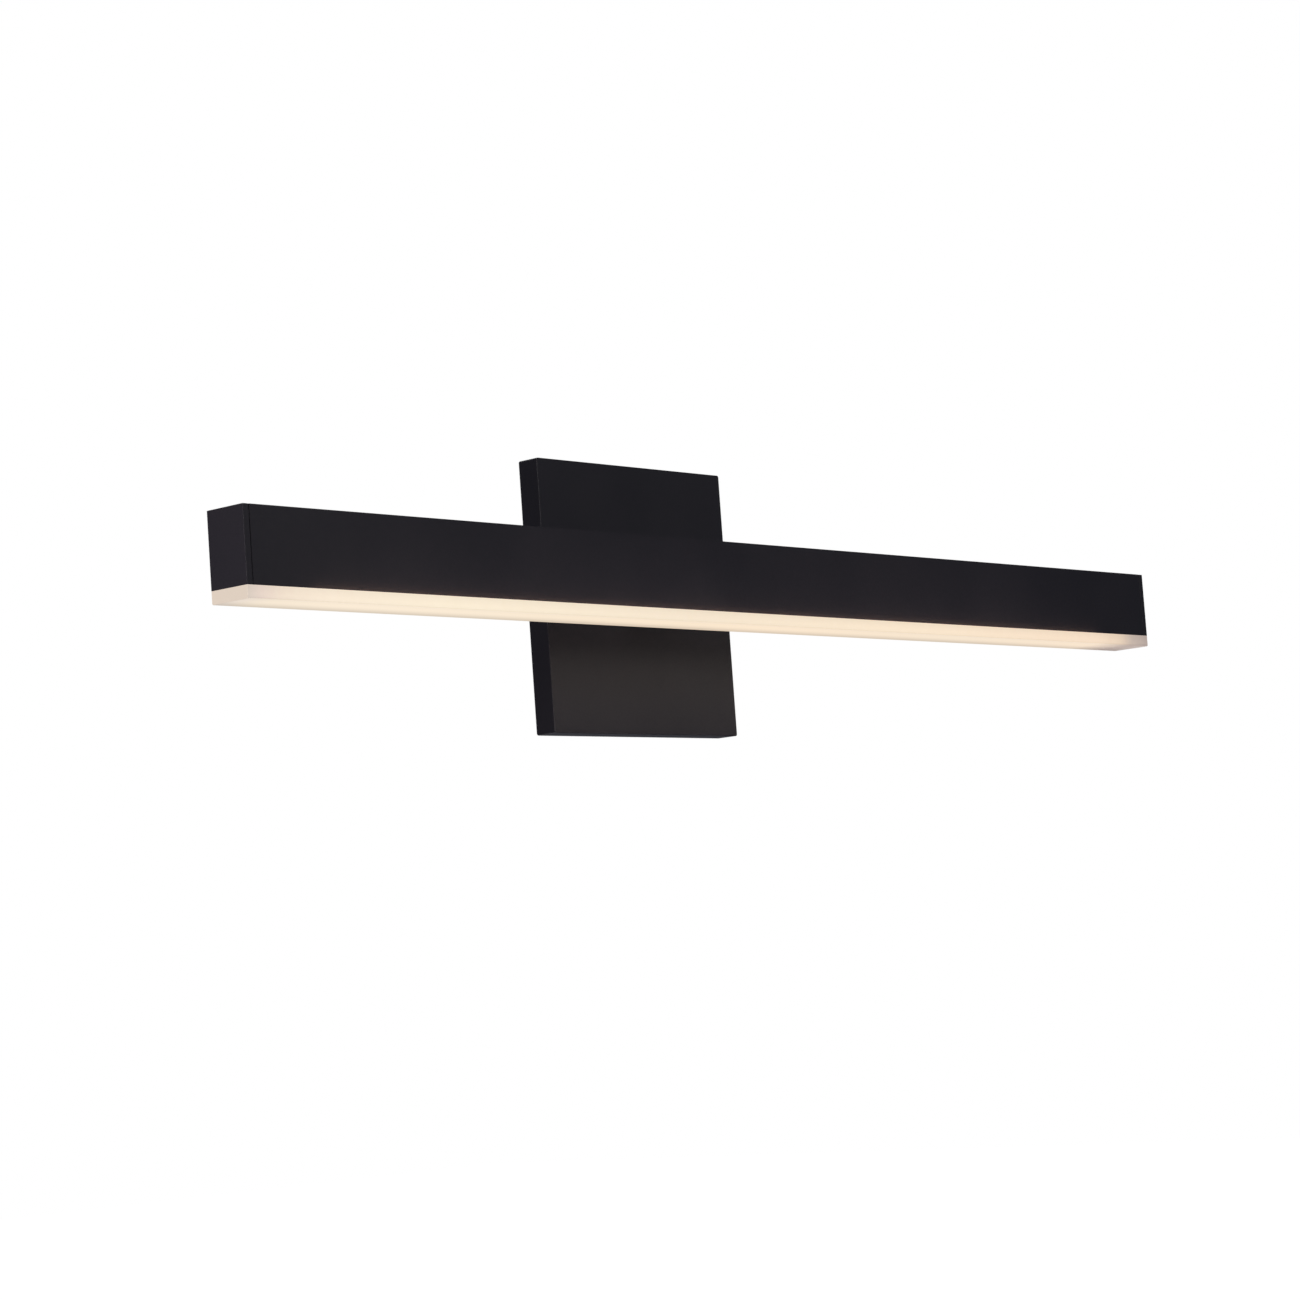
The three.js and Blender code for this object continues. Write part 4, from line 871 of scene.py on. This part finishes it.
# each pan-head screw: the way its head faces
SCREWS = {
    "canopy_screw_left": Vector((-1, 0, 0)),
    "canopy_screw_right": Vector((1, 0, 0)),
    "arm_screw_left": ALONG_Y,
    "arm_screw_right": ALONG_Y,
    "terminal_block_screw": ALONG_Y,
    "board_screw_1": Vector((0, 0, -1)),
    "board_screw_2": Vector((0, 0, -1)),
    "board_screw_3": Vector((0, 0, -1)),
    "board_screw_4": Vector((0, 0, -1)),
    "driver_screw_left": Vector((0, 0, 1)),
    "driver_screw_right": Vector((0, 0, 1)),
}
# each slot: the function that makes its material
FINISHES = {
    "black_powder_coat": black_powder_coat,
    "zinc_steel": zinc_steel,
    "green_steel": green_steel,
    "white_plastic": white_plastic,
    "rubber": rubber,
    "black_insulation": black_insulation,
    "white_insulation": white_insulation,
    "green_insulation": green_insulation,
    "red_insulation": red_insulation,
    "tray_aluminium": tray_aluminium,
    "led_board_white": led_board_white,
    "frosted_acrylic": frosted_acrylic,
    "driver_case": driver_case,
    "driver_board_green": driver_board_green,
    "driver_parts": driver_parts,
    "capacitor_sleeve": capacitor_sleeve,
}


def make_pieces():
    """Every piece of the light."""
    materials = {slot: make() for slot, make in FINISHES.items()}
    canopy_pan(materials["black_powder_coat"], "black_powder_coat")
    bar_channel(materials["black_powder_coat"], "black_powder_coat")
    for slot, edges in EDGES.items():
        for source, edge in edges.items():
            work = welded(source)
            round_edges(work, edge)
            finished(f"{source}_finished", work, materials[slot], slot, [source])
    for slot, wires in WIRES.items():
        for source, radius in wires.items():
            smooth_wire(source, radius, materials[slot], slot)
    for source, direction in SCREWS.items():
        slot = "black_powder_coat" if source.startswith("canopy") else "zinc_steel"
        pan_screw(source, direction, materials[slot], slot)
    marker_plastic = orange_plastic()
    for number, lead in enumerate(("line", "ground", "neutral"), 1):
        pole_marker(number, pole_x(f"lead_{lead}"), marker_plastic)


# ---------------------------------------------------------------- stage


def make_camera():
    """The camera, on a line from the point it aims at, with a slight roll."""
    azimuth, elevation = math.radians(CAMERA_AZIMUTH), math.radians(CAMERA_ELEVATION)
    back = Vector((
        math.sin(azimuth) * math.cos(elevation),
        -math.cos(azimuth) * math.cos(elevation),
        math.sin(elevation),
    ))
    right = (-back).cross(Vector((0, 0, 1))).normalized()
    up = back.cross(right)
    turn = Matrix((right, up, back)).transposed().to_4x4()
    roll = Matrix.Rotation(math.radians(CAMERA_ROLL), 4, "Z")
    data = bpy.data.cameras.new("camera")
    data.lens = CAMERA_LENS
    data.sensor_width = CAMERA_SENSOR
    camera = bpy.data.objects.new("camera", data)
    bpy.context.scene.collection.objects.link(camera)
    camera.matrix_world = Matrix.Translation(CAMERA_AIM + CAMERA_DISTANCE * back) @ turn @ roll
    bpy.context.scene.camera = camera


def make_world():
    """White behind everything, and a dim even fill on the object itself."""
    world = bpy.data.worlds.new("studio")
    world.use_nodes = True
    tree = world.node_tree
    tree.nodes.clear()
    seen = node(tree, "ShaderNodeLightPath").outputs["Is Camera Ray"]
    backdrop = node(tree, "ShaderNodeBackground", {"Color": BACKDROP_WHITE, "Strength": 1.0})
    fill = node(tree, "ShaderNodeBackground", {"Color": FILL_COLOUR, "Strength": FILL_STRENGTH})
    mix = node(tree, "ShaderNodeMixShader", {0: seen, 1: fill.outputs[0], 2: backdrop.outputs[0]})
    node(tree, "ShaderNodeOutputWorld", {"Surface": mix.outputs[0]})
    bpy.context.scene.world = world


def make_light(name, place, target, size, power, colour):
    """A rectangular lamp that no camera sees."""
    data = bpy.data.lights.new(name, "AREA")
    data.shape = "RECTANGLE"
    data.size, data.size_y = size
    data.energy = power
    data.color = colour
    lamp = bpy.data.objects.new(name, data)
    lamp.location = place
    lamp.rotation_euler = (Vector(target) - Vector(place)).to_track_quat("-Z", "Y").to_euler()
    lamp.visible_camera = False
    bpy.context.scene.collection.objects.link(lamp)
    return lamp


def light_only(lights, group, pieces):
    """Makes lights that fall on a group of pieces and on nothing else."""
    lit = bpy.data.collections.new(group)
    for piece in pieces:
        lit.objects.link(piece)
    for name, settings in lights.items():
        make_light(name, *settings).light_linking.receiver_collection = lit


def make_glow():
    """The light that the lit diffuser throws downwards and on to the canopy."""
    low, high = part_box("diffuser")
    middle = (low + high) / 2
    place = (middle.x, middle.y, low.z - GLOW_GAP)
    size = (high.x - low.x, high.y - low.y)
    make_light("diffuser_glow", place, (*place[:2], place[2] - 1), size, GLOW_POWER, GLOW_COLOUR)


def make_floor():
    """A plain pale floor far below, which reflects in nothing and lights nothing."""
    half = FLOOR_SIZE / 2
    mesh = bpy.data.meshes.new("floor")
    corners = [(-half, -half), (half, -half), (half, half), (-half, half)]
    mesh.from_pydata([(x, y, -FLOOR_DROP) for x, y in corners], [], [(0, 1, 2, 3)])
    material, tree, shader = new_material("floor", roughness=0.9)
    tone = blend(tree, noise(tree, FLOOR_CLOUD), FLOOR_PALE, FLOOR_WHITE)
    tree.links.new(tone, shader.inputs["Emission Color"])
    shader.inputs["Emission Strength"].default_value = 1.0
    mesh.materials.append(material)
    floor = bpy.data.objects.new("floor", mesh)
    floor.visible_diffuse = False
    floor.visible_glossy = False
    bpy.context.scene.collection.objects.link(floor)


def make_studio():
    """The world, every light and the floor, seen without a film look."""
    make_world()
    for name, settings in SOFTBOXES.items():
        make_light(name, *settings)
    coated = [p for p in bpy.context.scene.objects if p.get("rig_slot") == "black_powder_coat"]
    light_only(COAT_LIGHTS, "coated", coated)
    light_only(BAR_LIGHTS, "bar", [bpy.data.objects["light_channel_finished"]])
    make_glow()
    make_floor()
    bpy.context.scene.view_settings.view_transform = "Standard"


make_camera()
make_pieces()
make_studio()
